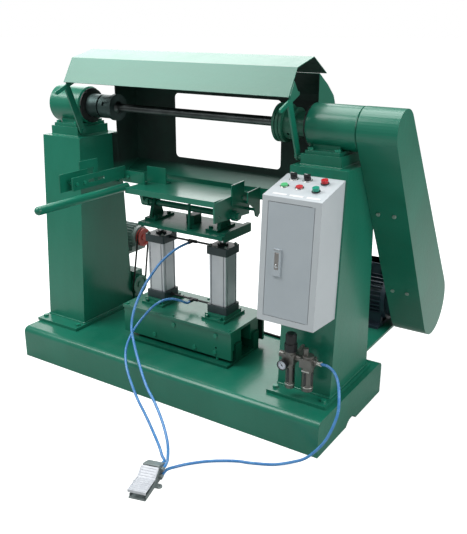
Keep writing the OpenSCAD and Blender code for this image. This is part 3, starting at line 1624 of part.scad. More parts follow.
base_frame();
left_column();
right_column();
frame_bolts();
spacer_blocks();
left_housing();
right_housing();
bearing_seals();
hood();
hood_arms();
rear_shield();
belt_guard();
drive_belts();
main_motor();
motor_bracket();
control_box();
pilot_lamps();
air_unit();
pressure_gauge();
air_elbow();
slide_rails();
traverse_motor();
traverse_gearbox();
traverse_belt();
base_cable();
foot_valve();
hose_upper();
hose_lower();
hose_supply();
carriage_box();
carriage_bolts();
cylinder_barrels();
cylinder_caps();
cylinder_feet();
air_tees();
push_rod();
piston_rods();
lift_plate();
tilt_bearings();
table_plate();
tilt_shaft();
right_bracket();
left_bracket();
table_guides();
table_bolts();
handle();
box_door();
door_latch();
red_button();
green_button();
left_selector();
right_selector();
regulator_knob();
foot_pedal();
spindle_shaft();
spindle_collars();
spindle_pulley();
motor_pulley();
traverse_pulley();
gearbox_pulley();
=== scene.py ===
import math
import bmesh
import bpy
import numpy as np
from mathutils import Matrix, Vector


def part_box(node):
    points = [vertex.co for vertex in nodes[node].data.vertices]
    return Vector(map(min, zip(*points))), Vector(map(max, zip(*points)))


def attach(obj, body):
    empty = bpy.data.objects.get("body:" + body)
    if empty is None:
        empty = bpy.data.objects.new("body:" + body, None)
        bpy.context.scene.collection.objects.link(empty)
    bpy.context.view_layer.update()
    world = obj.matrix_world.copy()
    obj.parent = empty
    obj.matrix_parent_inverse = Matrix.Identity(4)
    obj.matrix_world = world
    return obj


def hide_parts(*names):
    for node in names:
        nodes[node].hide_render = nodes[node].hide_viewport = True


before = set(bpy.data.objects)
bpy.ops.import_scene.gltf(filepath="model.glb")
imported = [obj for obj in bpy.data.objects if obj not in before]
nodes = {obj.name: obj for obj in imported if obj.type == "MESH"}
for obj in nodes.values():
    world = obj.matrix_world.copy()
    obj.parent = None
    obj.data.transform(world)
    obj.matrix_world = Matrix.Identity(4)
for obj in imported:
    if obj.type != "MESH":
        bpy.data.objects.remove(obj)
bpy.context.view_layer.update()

scene = bpy.context.scene
scene.view_settings.view_transform = "Standard"


# Camera: a standing viewer at the machine's front right corner.
# The photograph's frame is 467 by 534, so the 36 mm of the sensor lie along its height.
yaw, pitch, roll = -0.5765396, -0.3378092, 0.0027170
eye = Vector((1.9003, -2.5656, 1.6789))
ahead = Vector((math.sin(yaw)*math.cos(pitch), math.cos(yaw)*math.cos(pitch), math.sin(pitch)))
right = ahead.cross(Vector((0, 0, 1))).normalized()
up = right.cross(ahead)
right, up = math.cos(roll)*right + math.sin(roll)*up, math.cos(roll)*up - math.sin(roll)*right
camera = bpy.data.objects.new("camera", bpy.data.cameras.new("camera"))
camera.data.sensor_fit, camera.data.sensor_width, camera.data.lens = "AUTO", 36, 47.909
camera.data.clip_start, camera.data.clip_end = 0.05, 60
camera.matrix_world = Matrix((right, up, -ahead)).transposed().to_4x4()
camera.location = eye
scene.collection.objects.link(camera)
scene.camera = camera


# Air hoses: three smooth blue plastic tubes, about 12 mm thick, that lie loose on the floor.
# Two are pushed into the cylinders' tees and one into the air unit's elbow. All end in the foot valve.
class Value:
    """A socket of a material, on which Python's arithmetic adds Math nodes."""
    def __init__(self, finish, socket):
        self.finish, self.socket = finish, socket

    def maths(self, operation, a, b, clamp=False):
        return self.finish.node("ShaderNodeMath", {"operation": operation, "use_clamp": clamp},
                                {0: a, 1: b})

    def __add__(self, other):
        return self.maths("ADD", self, other)

    def __sub__(self, other):
        return self.maths("SUBTRACT", self, other)

    def __rsub__(self, other):
        return self.maths("SUBTRACT", other, self)

    def __mul__(self, other):
        return self.maths("MULTIPLY", self, other)

    __radd__, __rmul__ = __add__, __mul__

    def held(self):
        """Kept between 0 and 1."""
        return self.maths("ADD", self, 0.0, clamp=True)

    def above(self, edge, blur):
        """0 below edge, 1 from edge + blur on."""
        return ((self - edge)*(1/blur)).held()


class Finish:
    """A material: one Principled shader, and the nodes that change it over the surface."""
    def __init__(self, name, colour, rough, metal=0.0, coat=0.0, **fixed):
        self.material = bpy.data.materials.new(name)
        self.material.use_nodes = True
        self.tree = self.material.node_tree
        self.shader = self.tree.nodes["Principled BSDF"]
        plain = {"Base Color": (*colour, 1), "Roughness": rough, "Metallic": metal,
                 "Coat Weight": coat, **fixed}
        for socket, value in plain.items():
            self.shader.inputs[socket].default_value = value

    def node(self, kind, settings=(), inputs=(), out=0):
        """Adds a node: its settings first, then a value or a link for each of its inputs."""
        made = self.tree.nodes.new(kind)
        for name, value in dict(settings).items():
            setattr(made, name, value)
        for name, value in dict(inputs).items():
            if isinstance(value, Value):
                self.tree.links.new(value.socket, made.inputs[name])
            else:
                made.inputs[name].default_value = value
        return Value(self, made.outputs[out])

    def place(self):
        """Where a point lies in the object's own space, in metres."""
        return self.node("ShaderNodeTexCoord", out="Object")

    def along(self, axis):
        """X, Y or Z of the object's own space, in metres."""
        return self.node("ShaderNodeSeparateXYZ", {}, {0: self.place()}, out=axis)

    def cloud(self, scale, detail=3.0, rough=0.55, stretch=(1, 1, 1)):
        """Soft noise, 0 to 1, with scale features to the metre, drawn out along an axis by stretch."""
        at = self.place()
        if stretch != (1, 1, 1):
            at = self.node("ShaderNodeMapping", {}, {"Vector": at, "Scale": stretch})
        return self.node("ShaderNodeTexNoise", {}, {"Vector": at, "Scale": scale, "Detail": detail,
                                                    "Roughness": rough})

    def blend(self, share, a, b):
        """Colour a where share is 0, b where it is 1."""
        paint = [c if isinstance(c, Value) else (*c, 1) for c in (a, b)]
        return self.node("ShaderNodeMix", {"data_type": "RGBA"}, {0: share, 6: paint[0], 7: paint[1]},
                         out=2)

    def edges(self, radius):
        """0 on flat ground, rising over the outer and inner edges of a solid, within radius of them."""
        soft = self.node("ShaderNodeBevel", {"samples": 6}, {"Radius": radius})
        flat = self.node("ShaderNodeNewGeometry", out="True Normal")
        same = self.node("ShaderNodeVectorMath", {"operation": "DOT_PRODUCT"}, {0: soft, 1: flat},
                         out="Value")
        return 1 - same

    def upward(self):
        """How far the surface faces up, -1 to 1."""
        flat = self.node("ShaderNodeNewGeometry", out="Normal")
        return self.node("ShaderNodeSeparateXYZ", {}, {0: flat}, out="Z")

    def bump(self, height, depth, strength=1.0, radius=0.0):
        """Height in 0 to 1 raised by depth metres, over edges rounded by radius."""
        inputs = {"Height": height, "Distance": depth, "Strength": strength}
        if radius:
            inputs["Normal"] = self.node("ShaderNodeBevel", {"samples": 6}, {"Radius": radius})
        return self.node("ShaderNodeBump", {}, inputs)

    def so_far(self, socket):
        """What is linked to a socket of the shader already."""
        return Value(self, self.shader.inputs[socket].links[0].from_socket)

    def put(self, **sockets):
        """Links values to the shader."""
        names = {"colour": "Base Color", "rough": "Roughness", "metal": "Metallic",
                 "coat": "Coat Weight", "normal": "Normal", "glow": "Emission Color"}
        for name, value in sockets.items():
            self.tree.links.new(value.socket, self.shader.inputs[names[name]])


def dress(finish, *names):
    """Gives CAD nodes one finish."""
    for name in names:
        materials = nodes[name].data.materials
        materials.clear()
        materials.append(finish.material)


def smooth_route(points, between=8):
    """A smooth line through points in millimetres, in metres, with between steps from b to c, where a
    comes before b and d after c: (2b + (c - a)t + (2a - 5b + 4c - d)t^2 + (3b - a - 3c + d)t^3)/2."""
    p = np.array(points, float)/1000
    p = np.vstack([2*p[:1] - p[1:2], p, 2*p[-1:] - p[-2:-1]])
    t = np.linspace(0, 1, between, endpoint=False)[None, :, None]
    a, b, c, d = (p[i:len(p) - 3 + i, None] for i in range(4))
    line = (2*b + (c - a)*t + (2*a - 5*b + 4*c - d)*t**2 + (3*b - a - 3*c + d)*t**3)/2
    return np.vstack([line.reshape(-1, 3), p[-2:-1]])


hose_d, lowest_centre = 0.0118, 0.0062
hose_paint = Finish("blue_hose", (0.045, 0.215, 0.62), 0.24,
                    **{"Specular IOR Level": 0.55, "Subsurface Weight": 0.05})
wear = hose_paint.cloud(30, 4)
hose_paint.put(colour=hose_paint.blend(wear.above(0.45, 0.35), (0.070, 0.270, 0.62), (0.130, 0.380, 0.74)),
               rough=0.18 + wear*0.16, normal=hose_paint.bump(hose_paint.cloud(700, 2), 0.00012))
routes = {
    "hose_upper": [[-26, 4.6, 673], [-26, -16, 673], [-42, -50, 662], [-62, -80, 642],
        [-88, -130, 602], [-100, -185, 555], [-104, -245, 505], [-100, -310, 435],
        [-80, -360, 368], [-30, -405, 312], [45, -460, 250], [125, -515, 200], [220, -572, 168],
        [305, -630, 132], [370, -685, 95], [400, -724, 60], [406.6, -746.1, 44.9],
        [412.76, -769.28, 44.88]],
    "hose_lower": [[-26, 4.6, 374], [-26, -16, 374], [-45, -45, 392], [-75, -75, 404],
        [-110, -105, 396], [-150, -135, 360], [-180, -185, 305], [-182, -240, 268],
        [-165, -300, 235], [-135, -350, 208], [-85, -400, 170], [-10, -455, 135], [65, -505, 108],
        [155, -560, 85], [240, -615, 62], [310, -665, 48], [345, -692, 34], [367.6, -705.8, 27.72],
        [373.79, -728.9, 27.72]],
    "hose_supply": [[796, -215.4, 360], [822, -215.4, 360], [853, -227, 353], [887, -256, 335],
        [912, -290, 300], [928, -325, 240], [920, -352, 180], [898, -368, 120], [865, -378, 70],
        [830, -392, 32], [790, -412, 12], [728, -466, 6.5], [645, -508, 6.5], [600, -524, 6.5],
        [545, -556, 6.5], [490, -598, 6.5], [440, -652, 7], [412, -700, 10], [406, -735, 18],
        [410.36, -760.3, 21.78], [416.57, -783.45, 21.78]]}
for name, points in routes.items():
    line = smooth_route(points)
    line[:, 2] = np.maximum(line[:, 2], lowest_centre)
    curve = bpy.data.curves.new(name + "_tube", "CURVE")
    curve.dimensions, curve.use_fill_caps = "3D", True
    curve.bevel_depth, curve.bevel_resolution = hose_d/2, 5
    spline = curve.splines.new("POLY")
    spline.points.add(len(line) - 1)
    spline.points.foreach_set("co", np.hstack([line, np.ones((len(line), 1))]).ravel())
    curve.materials.append(hose_paint.material)
    tube = bpy.data.objects.new(name + "_tube", curve)
    scene.collection.objects.link(tube)
    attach(tube, "machine")
    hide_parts(name)


# Frame, housings, sheet work, carriage and table: steel plate and cast iron in green gloss enamel.
# The frame is welded, and the housings and brackets are bolted to it.
# The enamel has brush streaks and slight orange peel, dust on its level faces and rubbed edges.
pulley_low, pulley_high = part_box("spindle_pulley")
spindle_y, spindle_z = (pulley_low[1] + pulley_high[1])/2, (pulley_low[2] + pulley_high[2])/2
polishing_middle = (-0.017, spindle_y, spindle_z)
carriage_middle = (-0.03, 0.0875, 0.235)


def enamel(name, streak=(1, 1, 1), edge=0.0022, rubbed=0.5, tone=1.0):
    """Green enamel: streak draws its patches out, edge is the width of the rubbed edges in metres,
    rubbed is how bare they are, and tone scales the colour."""
    deep = tuple(c*tone for c in (0.006, 0.158, 0.096))
    pale = tuple(c*tone for c in (0.013, 0.215, 0.138))
    made = Finish(name, deep, 0.3, coat=0.35, **{"Coat Roughness": 0.16, "Specular IOR Level": 0.45})
    patch = made.cloud(3.2, 5, 0.6, streak)
    fine = made.cloud(260, 2)
    dust = made.cloud(9, 6, 0.65)
    edges = made.edges(edge)
    rub = (edges*2.2).above(0.12, 0.5)*made.cloud(60, 4, 0.7).above(0.5, 0.18)*rubbed
    settled = made.upward().above(0.5, 0.4)*dust.above(0.46, 0.3)*0.10
    colour = made.blend(patch.above(0.3, 0.45), deep, pale)
    colour = made.blend(settled, colour, (0.16, 0.30, 0.25))
    colour = made.blend(rub, colour, (0.20, 0.34, 0.29))
    made.put(colour=colour, rough=0.24 + patch*0.12 + settled*0.8 + rub*0.25,
             normal=made.bump(fine*0.5 + made.cloud(42, 3)*1.6, 0.00045, 0.8, edge))
    return made


def shade_and_dust_enamel(name, low, centre=polishing_middle):
    """Enamel darkened on the sides that face a centre, above a height low: painted shade, together with
    dark dust and grease.
    """
    made = enamel(name, (0.3, 1, 1), 0.0012)
    flat = made.node("ShaderNodeNewGeometry", out="Normal")
    outward = made.node("ShaderNodeVectorMath", {"operation": "SUBTRACT"}, {0: made.place(), 1: centre})
    facing = made.node("ShaderNodeVectorMath", {"operation": "DOT_PRODUCT"}, {0: outward, 1: flat},
                       out="Value")
    # The inner faces turn near black: painted shade for the hollow, together with dark dust and grease.
    inner = (facing*-1).above(0.005, 0.01)*made.along("Z").above(low, 0.06)
    dust_and_painted_shade = inner*(0.74 + made.cloud(5, 5, 0.6)*0.35).held()
    made.put(colour=made.blend(dust_and_painted_shade, made.so_far("Base Color"), (0.010, 0.017, 0.016)),
             rough=made.so_far("Roughness") + dust_and_painted_shade*0.4, coat=0.35 - dust_and_painted_shade*0.35)
    return made


frame_enamel = enamel("frame_enamel", streak=(1, 1, 0.35))
sheet_enamel = enamel("sheet_enamel", streak=(0.3, 1, 1), edge=0.0012)
# Hood, shield and carriage: painted shade, with dust and grease, on the faces that look inward.
hood_enamel = shade_and_dust_enamel("hood_enamel", low=0.5)
shield_enamel = shade_and_dust_enamel("shield_enamel", low=0.925)
carriage_enamel = shade_and_dust_enamel("carriage_enamel", low=0.0, centre=carriage_middle)
# Rails, lift plate and tilt bearings: a darker enamel, at 0.62 of the tone, for oil and as painted shade
# under the carriage and table.
oily_shaded_enamel = enamel("oily_shaded_enamel", edge=0.0015, rubbed=0.4, tone=0.62)
oily_shaded_enamel.shader.inputs["Coat Weight"].default_value = 0.0
oily_shaded_enamel.shader.inputs["Specular IOR Level"].default_value = 0.16
table_enamel = enamel("table_enamel", streak=(0.4, 1, 1), edge=0.0015, rubbed=0.85)
dress(frame_enamel, "base_frame", "left_column", "right_column", "spacer_blocks", "left_housing",
      "right_housing", "hood_arms", "motor_bracket", "traverse_gearbox")
dress(sheet_enamel, "belt_guard")
dress(hood_enamel, "hood")
dress(shield_enamel, "rear_shield")
dress(carriage_enamel, "carriage_box")
dress(oily_shaded_enamel, "slide_rails", "lift_plate", "tilt_bearings")
dress(table_enamel, "cylinder_feet", "table_plate",
      "tilt_shaft", "right_bracket", "left_bracket", "table_guides", "handle")


# Bolts and screws: zinc-plated steel hexagons and cap screws that hold the frame, carriage and table.
# Those were painted over with the frame, and only the guard's four screws are still bare.
guard_x, guard_screws_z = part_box("belt_guard")[0][0] + 0.01, 0.40
bolt_steel = Finish("bolt_steel", (0.30, 0.33, 0.31), 0.38, metal=0.85)
grime = bolt_steel.cloud(90, 4, 0.7)
bolt_steel.put(colour=bolt_steel.blend(grime.above(0.42, 0.25), (0.34, 0.37, 0.35), (0.06, 0.16, 0.12)),
               metal=1 - grime.above(0.45, 0.2)*0.8, rough=0.3 + grime*0.3,
               normal=bolt_steel.bump(bolt_steel.cloud(500, 2), 0.0002, 0.7, 0.0008))
bolt_enamel = enamel("bolt_enamel", edge=0.0014, rubbed=1.0, tone=1.35)
bare = bolt_enamel.along("X").above(guard_x, 0.002)*bolt_enamel.along("Z").above(guard_screws_z, 0.01)
bolt_enamel.put(colour=bolt_enamel.blend(bare, bolt_enamel.so_far("Base Color"), (0.46, 0.52, 0.48)),
                metal=bare*0.6)
dress(bolt_enamel, "frame_bolts", "carriage_bolts", "table_bolts")


# Spindle: a ground shaft with blackened collars on its left end and a green hub on its right.
# The turned parts show fine rings round the axis, bright where the work rubs and oily grey elsewhere.
def turned(name, colour, rough, metal):
    """Steel or iron with rings about the X axis: noise drawn out in Y and Z."""
    made = Finish(name, colour, rough, metal=metal, **{"Specular IOR Level": 0.5})
    ring = made.cloud(900, 2, 0.5, (1, 0.002, 0.002))
    oil = made.cloud(14, 5, 0.6)
    darker = tuple(c*0.62 for c in colour)
    bright = tuple(min(1, c*1.35 + 0.04) for c in colour)
    tint = made.blend(oil.above(0.38, 0.3), darker, colour)
    tint = made.blend((made.edges(0.0012)*2.5).above(0.1, 0.5)*0.7, tint, bright)
    made.put(colour=tint, rough=rough - 0.06 + oil*0.18 + ring*0.08,
             normal=made.bump(ring + made.cloud(60, 3)*0.6, 0.00010, 0.9, 0.0012))
    return made


shaft_steel = turned("shaft_steel", (0.13, 0.15, 0.15), 0.30, 1.0)
collar_iron = turned("collar_iron", (0.085, 0.135, 0.130), 0.36, 0.75)
on_hub = collar_iron.along("X").above(0.0, 0.001)
collar_iron.put(colour=collar_iron.blend(on_hub, collar_iron.so_far("Base Color"), (0.014, 0.125, 0.075)),
                metal=0.75 - on_hub*0.75)
pulley_iron = turned("pulley_iron", (0.16, 0.17, 0.17), 0.42, 0.9)
seal_rubber = Finish("seal_rubber", (0.012, 0.014, 0.014), 0.5)
seal_rubber.put(rough=0.4 + seal_rubber.cloud(80, 3)*0.3,
                normal=seal_rubber.bump(seal_rubber.cloud(300, 3), 0.0002, 0.8, 0.001))
dress(shaft_steel, "spindle_shaft")
dress(collar_iron, "spindle_collars")
dress(pulley_iron, "spindle_pulley", "motor_pulley")
dress(seal_rubber, "bearing_seals")


# Traverse drive: a red iron pulley on the small motor and a green one on the gearbox.
# A narrow rubber belt with a cloth face joins them behind the left cylinder.
red_enamel = Finish("red_enamel", (0.50, 0.045, 0.030), 0.34, coat=0.2)
chips = red_enamel.cloud(45, 5, 0.7)
red_enamel.put(colour=red_enamel.blend(chips.above(0.60, 0.08), (0.50, 0.045, 0.030), (0.20, 0.10, 0.08)),
               rough=0.28 + chips*0.25, normal=red_enamel.bump(chips, 0.0003, 0.6, 0.001))
belt_cloth = Finish("belt_cloth", (0.016, 0.016, 0.017), 0.75)
weave = belt_cloth.cloud(900, 2)
belt_cloth.put(colour=belt_cloth.blend(belt_cloth.cloud(20, 5), (0.010, 0.010, 0.011),
                                       (0.045, 0.043, 0.040)),
               rough=0.62 + weave*0.25, normal=belt_cloth.bump(weave, 0.0004))
dress(red_enamel, "traverse_pulley")
dress(table_enamel, "gearbox_pulley")
dress(belt_cloth, "drive_belts", "traverse_belt")


# Motors: cast frames with cooling fins, bolted down by their feet.
# The large one is in slate enamel and the small one in light grey.
def casting(name, colour, rough, metal=0.0, grain=220.0, edge=0.0018):
    """A sand casting under thin paint: grain features to the metre, dirt, and rubbed edges."""
    made = Finish(name, colour, rough, metal=metal, coat=0.1)
    sand = made.cloud(grain, 5, 0.7)
    dirt = made.cloud(12, 6, 0.65)
    tint = made.blend(dirt.above(0.40, 0.35), tuple(c*0.72 for c in colour), colour)
    tint = made.blend((made.edges(edge)*2.2).above(0.12, 0.5)*0.45, tint,
                      tuple(min(1, c*1.3 + 0.05) for c in colour))
    made.put(colour=tint, rough=rough - 0.05 + sand*0.15,
             normal=made.bump(sand + dirt*0.4, 0.0005, 0.8, edge))
    return made


slate_casting = casting("slate_casting", (0.028, 0.048, 0.075), 0.42)
light_casting = casting("light_casting", (0.42, 0.50, 0.48), 0.45, 0.2)
dress(slate_casting, "main_motor")
dress(light_casting, "traverse_motor")


# Air cylinders: drawn aluminium barrels between slate cast caps, with chromed rods and black tees.
# The tees, the dark cable and the small knobs are black plastic, moulded and slightly worn.
barrel = Finish("barrel_aluminium", (0.55, 0.56, 0.59), 0.36, metal=0.75)
drawn = barrel.cloud(420, 2, 0.5, (1, 1, 0.004))
haze = barrel.cloud(7, 4)
barrel.put(colour=barrel.blend(haze.above(0.35, 0.4), (0.54, 0.57, 0.60), (0.70, 0.71, 0.74)),
           rough=0.30 + drawn*0.16, normal=barrel.bump(drawn, 0.00015, 0.8, 0.002))
cap_casting = casting("cap_casting", (0.032, 0.060, 0.066), 0.40)
chrome = Finish("rod_chrome", (0.66, 0.68, 0.70), 0.12, metal=1.0)
chrome.put(rough=0.08 + chrome.cloud(30, 4)*0.14, normal=chrome.bump(chrome.cloud(500, 2), 0.00003))
black_plastic = Finish("black_plastic", (0.014, 0.015, 0.017), 0.36)
black_plastic.put(rough=0.28 + black_plastic.cloud(60, 4)*0.2,
                  normal=black_plastic.bump(black_plastic.cloud(600, 2), 0.0001, 0.7, 0.0012))
dress(barrel, "cylinder_barrels")
dress(cap_casting, "cylinder_caps")
dress(chrome, "piston_rods", "push_rod")
dress(black_plastic, "air_tees", "base_cable", "left_selector", "right_selector", "regulator_knob",
      "pressure_gauge")


# Control box: folded steel sheet in light grey enamel, fixed to the right column's front.
# Its silver door hangs on two pins and has a bright lock. The buttons and lamps are moulded plastic.
grey_enamel = Finish("grey_enamel", (0.56, 0.61, 0.64), 0.34, coat=0.15)
peel = grey_enamel.cloud(320, 2)
smear = grey_enamel.cloud(5, 5, 0.6)
grey_enamel.put(colour=grey_enamel.blend(smear.above(0.35, 0.4), (0.57, 0.62, 0.65), (0.61, 0.66, 0.69)),
                rough=0.28 + smear*0.14, normal=grey_enamel.bump(peel, 0.0003, 0.7, 0.0014))
door_silver = Finish("door_enamel", (0.44, 0.49, 0.53), 0.34, coat=0.15)
smear = door_silver.cloud(4, 5, 0.6)
door_silver.put(colour=door_silver.blend(smear.above(0.35, 0.4), (0.47, 0.53, 0.57), (0.51, 0.57, 0.61)),
                rough=0.3 + smear*0.14,
                normal=door_silver.bump(door_silver.cloud(320, 2), 0.0003, 0.7, 0.001))
lock_metal = Finish("lock_metal", (0.42, 0.40, 0.39), 0.3, metal=1.0)
brushed = lock_metal.cloud(700, 2, 0.5, (1, 1, 0.02))
lock_metal.put(rough=0.2 + brushed*0.2, normal=lock_metal.bump(brushed, 0.0001, 0.7, 0.001))


def moulded(name, colour, rough=0.25):
    """Glossy plastic with paler scuffs."""
    made = Finish(name, colour, rough, coat=0.3)
    scuff = made.cloud(70, 5, 0.7)
    scuffed = tuple(min(1, c*1.25 + 0.015) for c in colour)
    made.put(colour=made.blend(scuff.above(0.5, 0.3), colour, scuffed),
             rough=rough - 0.05 + scuff*0.16, normal=made.bump(scuff, 0.0001, 0.6, 0.0015))
    return made


between_lamps = 0.63
lamp_lens = moulded("lamp_lens", (0.10, 0.55, 0.22), 0.2)
is_red = lamp_lens.along("X").above(between_lamps, 0.0005)
lamp_lens.put(colour=lamp_lens.blend(is_red, (0.12, 0.58, 0.24), (0.62, 0.05, 0.06)))
dress(grey_enamel, "control_box")
dress(door_silver, "box_door")
dress(lock_metal, "door_latch")
dress(moulded("red_plastic", (0.55, 0.012, 0.020)), "red_button")
dress(moulded("green_plastic", (0.008, 0.30, 0.20)), "green_button")
dress(lamp_lens, "pilot_lamps")


# Compressed-air unit: a cast body with two metal bowl guards, on the right column under the box.
# Its outlet is a nickel-plated elbow, and the gauge sits on the left.
unit_metal = casting("unit_metal", (0.23, 0.225, 0.21), 0.34, 0.75, 300.0, 0.0012)
nickel = Finish("nickel", (0.60, 0.60, 0.57), 0.2, metal=1.0)
nickel.put(rough=0.14 + nickel.cloud(50, 4)*0.16,
           normal=nickel.bump(nickel.cloud(300, 2), 0.0001, 0.6, 0.001))
dress(unit_metal, "air_unit")
dress(nickel, "air_elbow")


# Foot valve: a cast body that stands loose on the floor.
# Its treadle, in silver paint, turns on a pin between the body's cheeks.
valve_metal = casting("valve_metal", (0.36, 0.42, 0.42), 0.45, 0.35, 260.0, 0.0015)
treadle = Finish("treadle_paint", (0.60, 0.63, 0.68), 0.42, metal=0.25)
scuffed = treadle.cloud(40, 6, 0.7)
treadle.put(colour=treadle.blend(scuffed.above(0.42, 0.3), (0.64, 0.67, 0.72), (0.78, 0.81, 0.85)),
            rough=0.34 + scuffed*0.2, normal=treadle.bump(treadle.cloud(350, 3), 0.0004, 0.8, 0.0015))
dress(valve_metal, "foot_valve")
dress(treadle, "foot_pedal")


# Welds: beads laid by hand round the column feet, the spacer blocks and the motor bracket.
# They are 7 to 12 mm wide, with ripples 5 mm apart, and were painted over with the frame.
foot_rim = {"half_x": 0.125, "front": -0.1464, "back": 0.2384, "z": 0.176}
blocks_low, blocks_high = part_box("spacer_blocks")
block_half, above_joint = 0.089, 0.0005
block_rim = {"half_x": block_half, "front": blocks_low[1], "back": blocks_high[1],
             "z": blocks_low[2] + above_joint}
block_xs = (blocks_low[0] + block_half, blocks_high[0] - block_half)
bracket_low, bracket_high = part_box("motor_bracket")
bracket_x0, bracket_x1, bracket_y = bracket_low[0] + 0.003, bracket_high[0] - 0.001, 0.2365
bracket_top, bracket_under = bracket_high[2] + 0.0005, bracket_high[2] - 0.0125
foot_bead, block_bead, bracket_bead = 0.0055, 0.0035, 0.0048
bead_step, ripple_pitch, bead_sides = 0.0022, 0.0052, 8
bracket_points, bracket_ripple = 110, 1.25


def mesh_piece(name, points, faces, finish, body="machine", rounded=True):
    """An object at the origin from an array of points and a list of faces."""
    mesh = bpy.data.meshes.new(name)
    mesh.from_pydata(np.asarray(points, float).tolist(), [], faces)
    mesh.polygons.foreach_set("use_smooth", [rounded]*len(mesh.polygons))
    shell = bmesh.new()
    shell.from_mesh(mesh)
    bmesh.ops.recalc_face_normals(shell, faces=shell.faces)
    shell.to_mesh(mesh)
    shell.free()
    mesh.materials.append(finish.material)
    made = bpy.data.objects.new(name, mesh)
    scene.collection.objects.link(made)
    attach(made, body)
    return made


def grid_quads(rows, turns, end_to_end=False, round_each=True):
    """Faces of a grid of rows by turns points, closed round each row and end to end where asked."""
    i, j = np.meshgrid(np.arange(rows if end_to_end else rows - 1),
                       np.arange(turns if round_each else turns - 1), indexing="ij")
    i2, j2 = (i + 1) % rows, (j + 1) % turns
    return np.stack([i*turns + j, i*turns + j2, i2*turns + j2, i2*turns + j], -1).reshape(-1, 4)


def swept(path, section, closed=False, turn_up=(0, 0, 1)):
    """Carries a section (n by 2) along a path (m by 3), or one section for each point of it: a point
    of the result is the path's point plus section x times its side vector plus section y times its
    upward vector, both square to the path."""
    path = np.asarray(path, float)
    ahead = np.roll(path, -1, 0) - np.roll(path, 1, 0)
    if not closed:
        ahead[0], ahead[-1] = path[1] - path[0], path[-1] - path[-2]
    ahead /= np.linalg.norm(ahead, axis=1, keepdims=True)
    side = np.cross(ahead, np.asarray(turn_up, float))
    side /= np.linalg.norm(side, axis=1, keepdims=True)
    over = np.cross(side, ahead)
    section = np.broadcast_to(section, (len(path),) + np.shape(section)[-2:])
    return path[:, None] + section[..., :1]*side[:, None] + section[..., 1:]*over[:, None]


def capped(name, grid, finish, body="machine", closed=False, rounded=True):
    """A closed piece from rows of points: its sides, and a flat face on each end unless it is a ring."""
    rows, turns = grid.shape[:2]
    faces = grid_quads(rows, turns, closed)[:, ::-1].tolist()
    if not closed:
        faces += [list(range(turns)), list(range((rows - 1)*turns, rows*turns))[::-1]]
    return mesh_piece(name, grid.reshape(-1, 3), faces, finish, body, rounded)


def circle(radius, turns):
    """Points on a circle, x = radius cos a, y = radius sin a."""
    a = np.linspace(0, 2*math.pi, turns, endpoint=False)
    return radius*np.stack([np.cos(a), np.sin(a)], 1)


def rectangle(x, half_x, front, back, z):
    """Corners of a level rectangle, half_x to each side of x."""
    return [(x - half_x, front, z), (x + half_x, front, z), (x + half_x, back, z), (x - half_x, back, z)]


def ripple_bead(name, corners, radius):
    """A bead round a closed loop of corners. After s metres its radius has the factor
    0.92 + 0.16 |sin(pi s/pitch)| + 0.06 sin(37 s)."""
    corners = np.asarray(corners, float)
    sides = []
    for a, b in zip(corners, np.roll(corners, -1, 0)):
        steps = max(2, int(np.linalg.norm(b - a)/bead_step))
        sides.append(a + (b - a)*np.linspace(0, 1, steps, endpoint=False)[:, None])
    path = np.vstack(sides)
    s = np.arange(len(path))*bead_step
    size = radius*(0.92 + 0.16*np.abs(np.sin(math.pi*s/ripple_pitch)) + 0.06*np.sin(37*s))
    capped(name, swept(path, circle(1.0, bead_sides)*size[:, None, None], True), frame_enamel,
           closed=True)


for side, block_x in zip(("left", "right"), block_xs):
    column_low, column_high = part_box(side + "_column")
    foot_x = (column_low[0] + column_high[0])/2
    ripple_bead(side + "_foot_weld", rectangle(foot_x, **foot_rim), foot_bead)
    ripple_bead(side + "_block_weld", rectangle(block_x, **block_rim), block_bead)
for place, z in (("over", bracket_top), ("under", bracket_under)):
    path = np.linspace((bracket_x0, bracket_y, z), (bracket_x1, bracket_y, z), bracket_points)
    size = bracket_bead*(0.92 + 0.16*np.abs(np.sin(np.arange(bracket_points)*bracket_ripple)))
    capped("bracket_weld_" + place, swept(path, circle(1.0, bead_sides)*size[:, None, None]),
           frame_enamel)


# Left spindle housing: a turned steel cover closes its outer end, enamelled with the housing.
# Six zinc-plated cap screws hold it.
cover_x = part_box("left_housing")[0][0] + 0.0005
screw_x, screw_circle = cover_x - 0.0083, 0.059
leftward, frontward, upright = (-1, 0, 0), (0, -1, 0), (0, 0, 1)
least_radius = 1e-5
cover = [(0, 0), (0.074, 0), (0.074, 0.006), (0.070, 0.0085), (0.030, 0.0085), (0.026, 0.006), (0, 0.006)]
cap_screw = [(0, 0), (0.0065, 0), (0.0065, 0.0045), (0.0055, 0.0056), (0.0030, 0.0056), (0.0028, 0.0030),
             (0, 0.0030)]


def lathe(name, profile, centre, axis, finish, body="machine", turns=32):
    """Turns a profile of (radius, height) pairs about an axis through centre: a point is the centre
    plus height along the axis plus radius times a unit vector square to it. A profile that starts
    off the axis makes a ring."""
    axis = np.asarray(axis, float)/np.linalg.norm(axis)
    first = np.cross(axis, (0.3, 0.9, 0.2))
    first /= np.linalg.norm(first)
    ring = circle(1.0, turns)
    around = ring[:, :1]*first + ring[:, 1:]*np.cross(axis, first)
    p = np.asarray(profile, float)
    radii = np.maximum(p[:, None, :1], least_radius)
    grid = np.asarray(centre, float) + p[:, None, 1:]*axis + radii*around
    made = capped(name, grid, finish, body, closed=p[0, 0] > 0)
    made.data.set_sharp_from_angle(angle=math.radians(35))


lathe("left_end_cover", cover, (cover_x, spindle_y, spindle_z), leftward, frame_enamel,
      turns=48)
for i in range(6):
    a = math.radians(30 + 60*i)
    at = (screw_x, spindle_y + screw_circle*math.cos(a), spindle_z + screw_circle*math.sin(a))
    lathe(f"cover_screw_{i}", cap_screw, at, leftward, bolt_steel, turns=12)


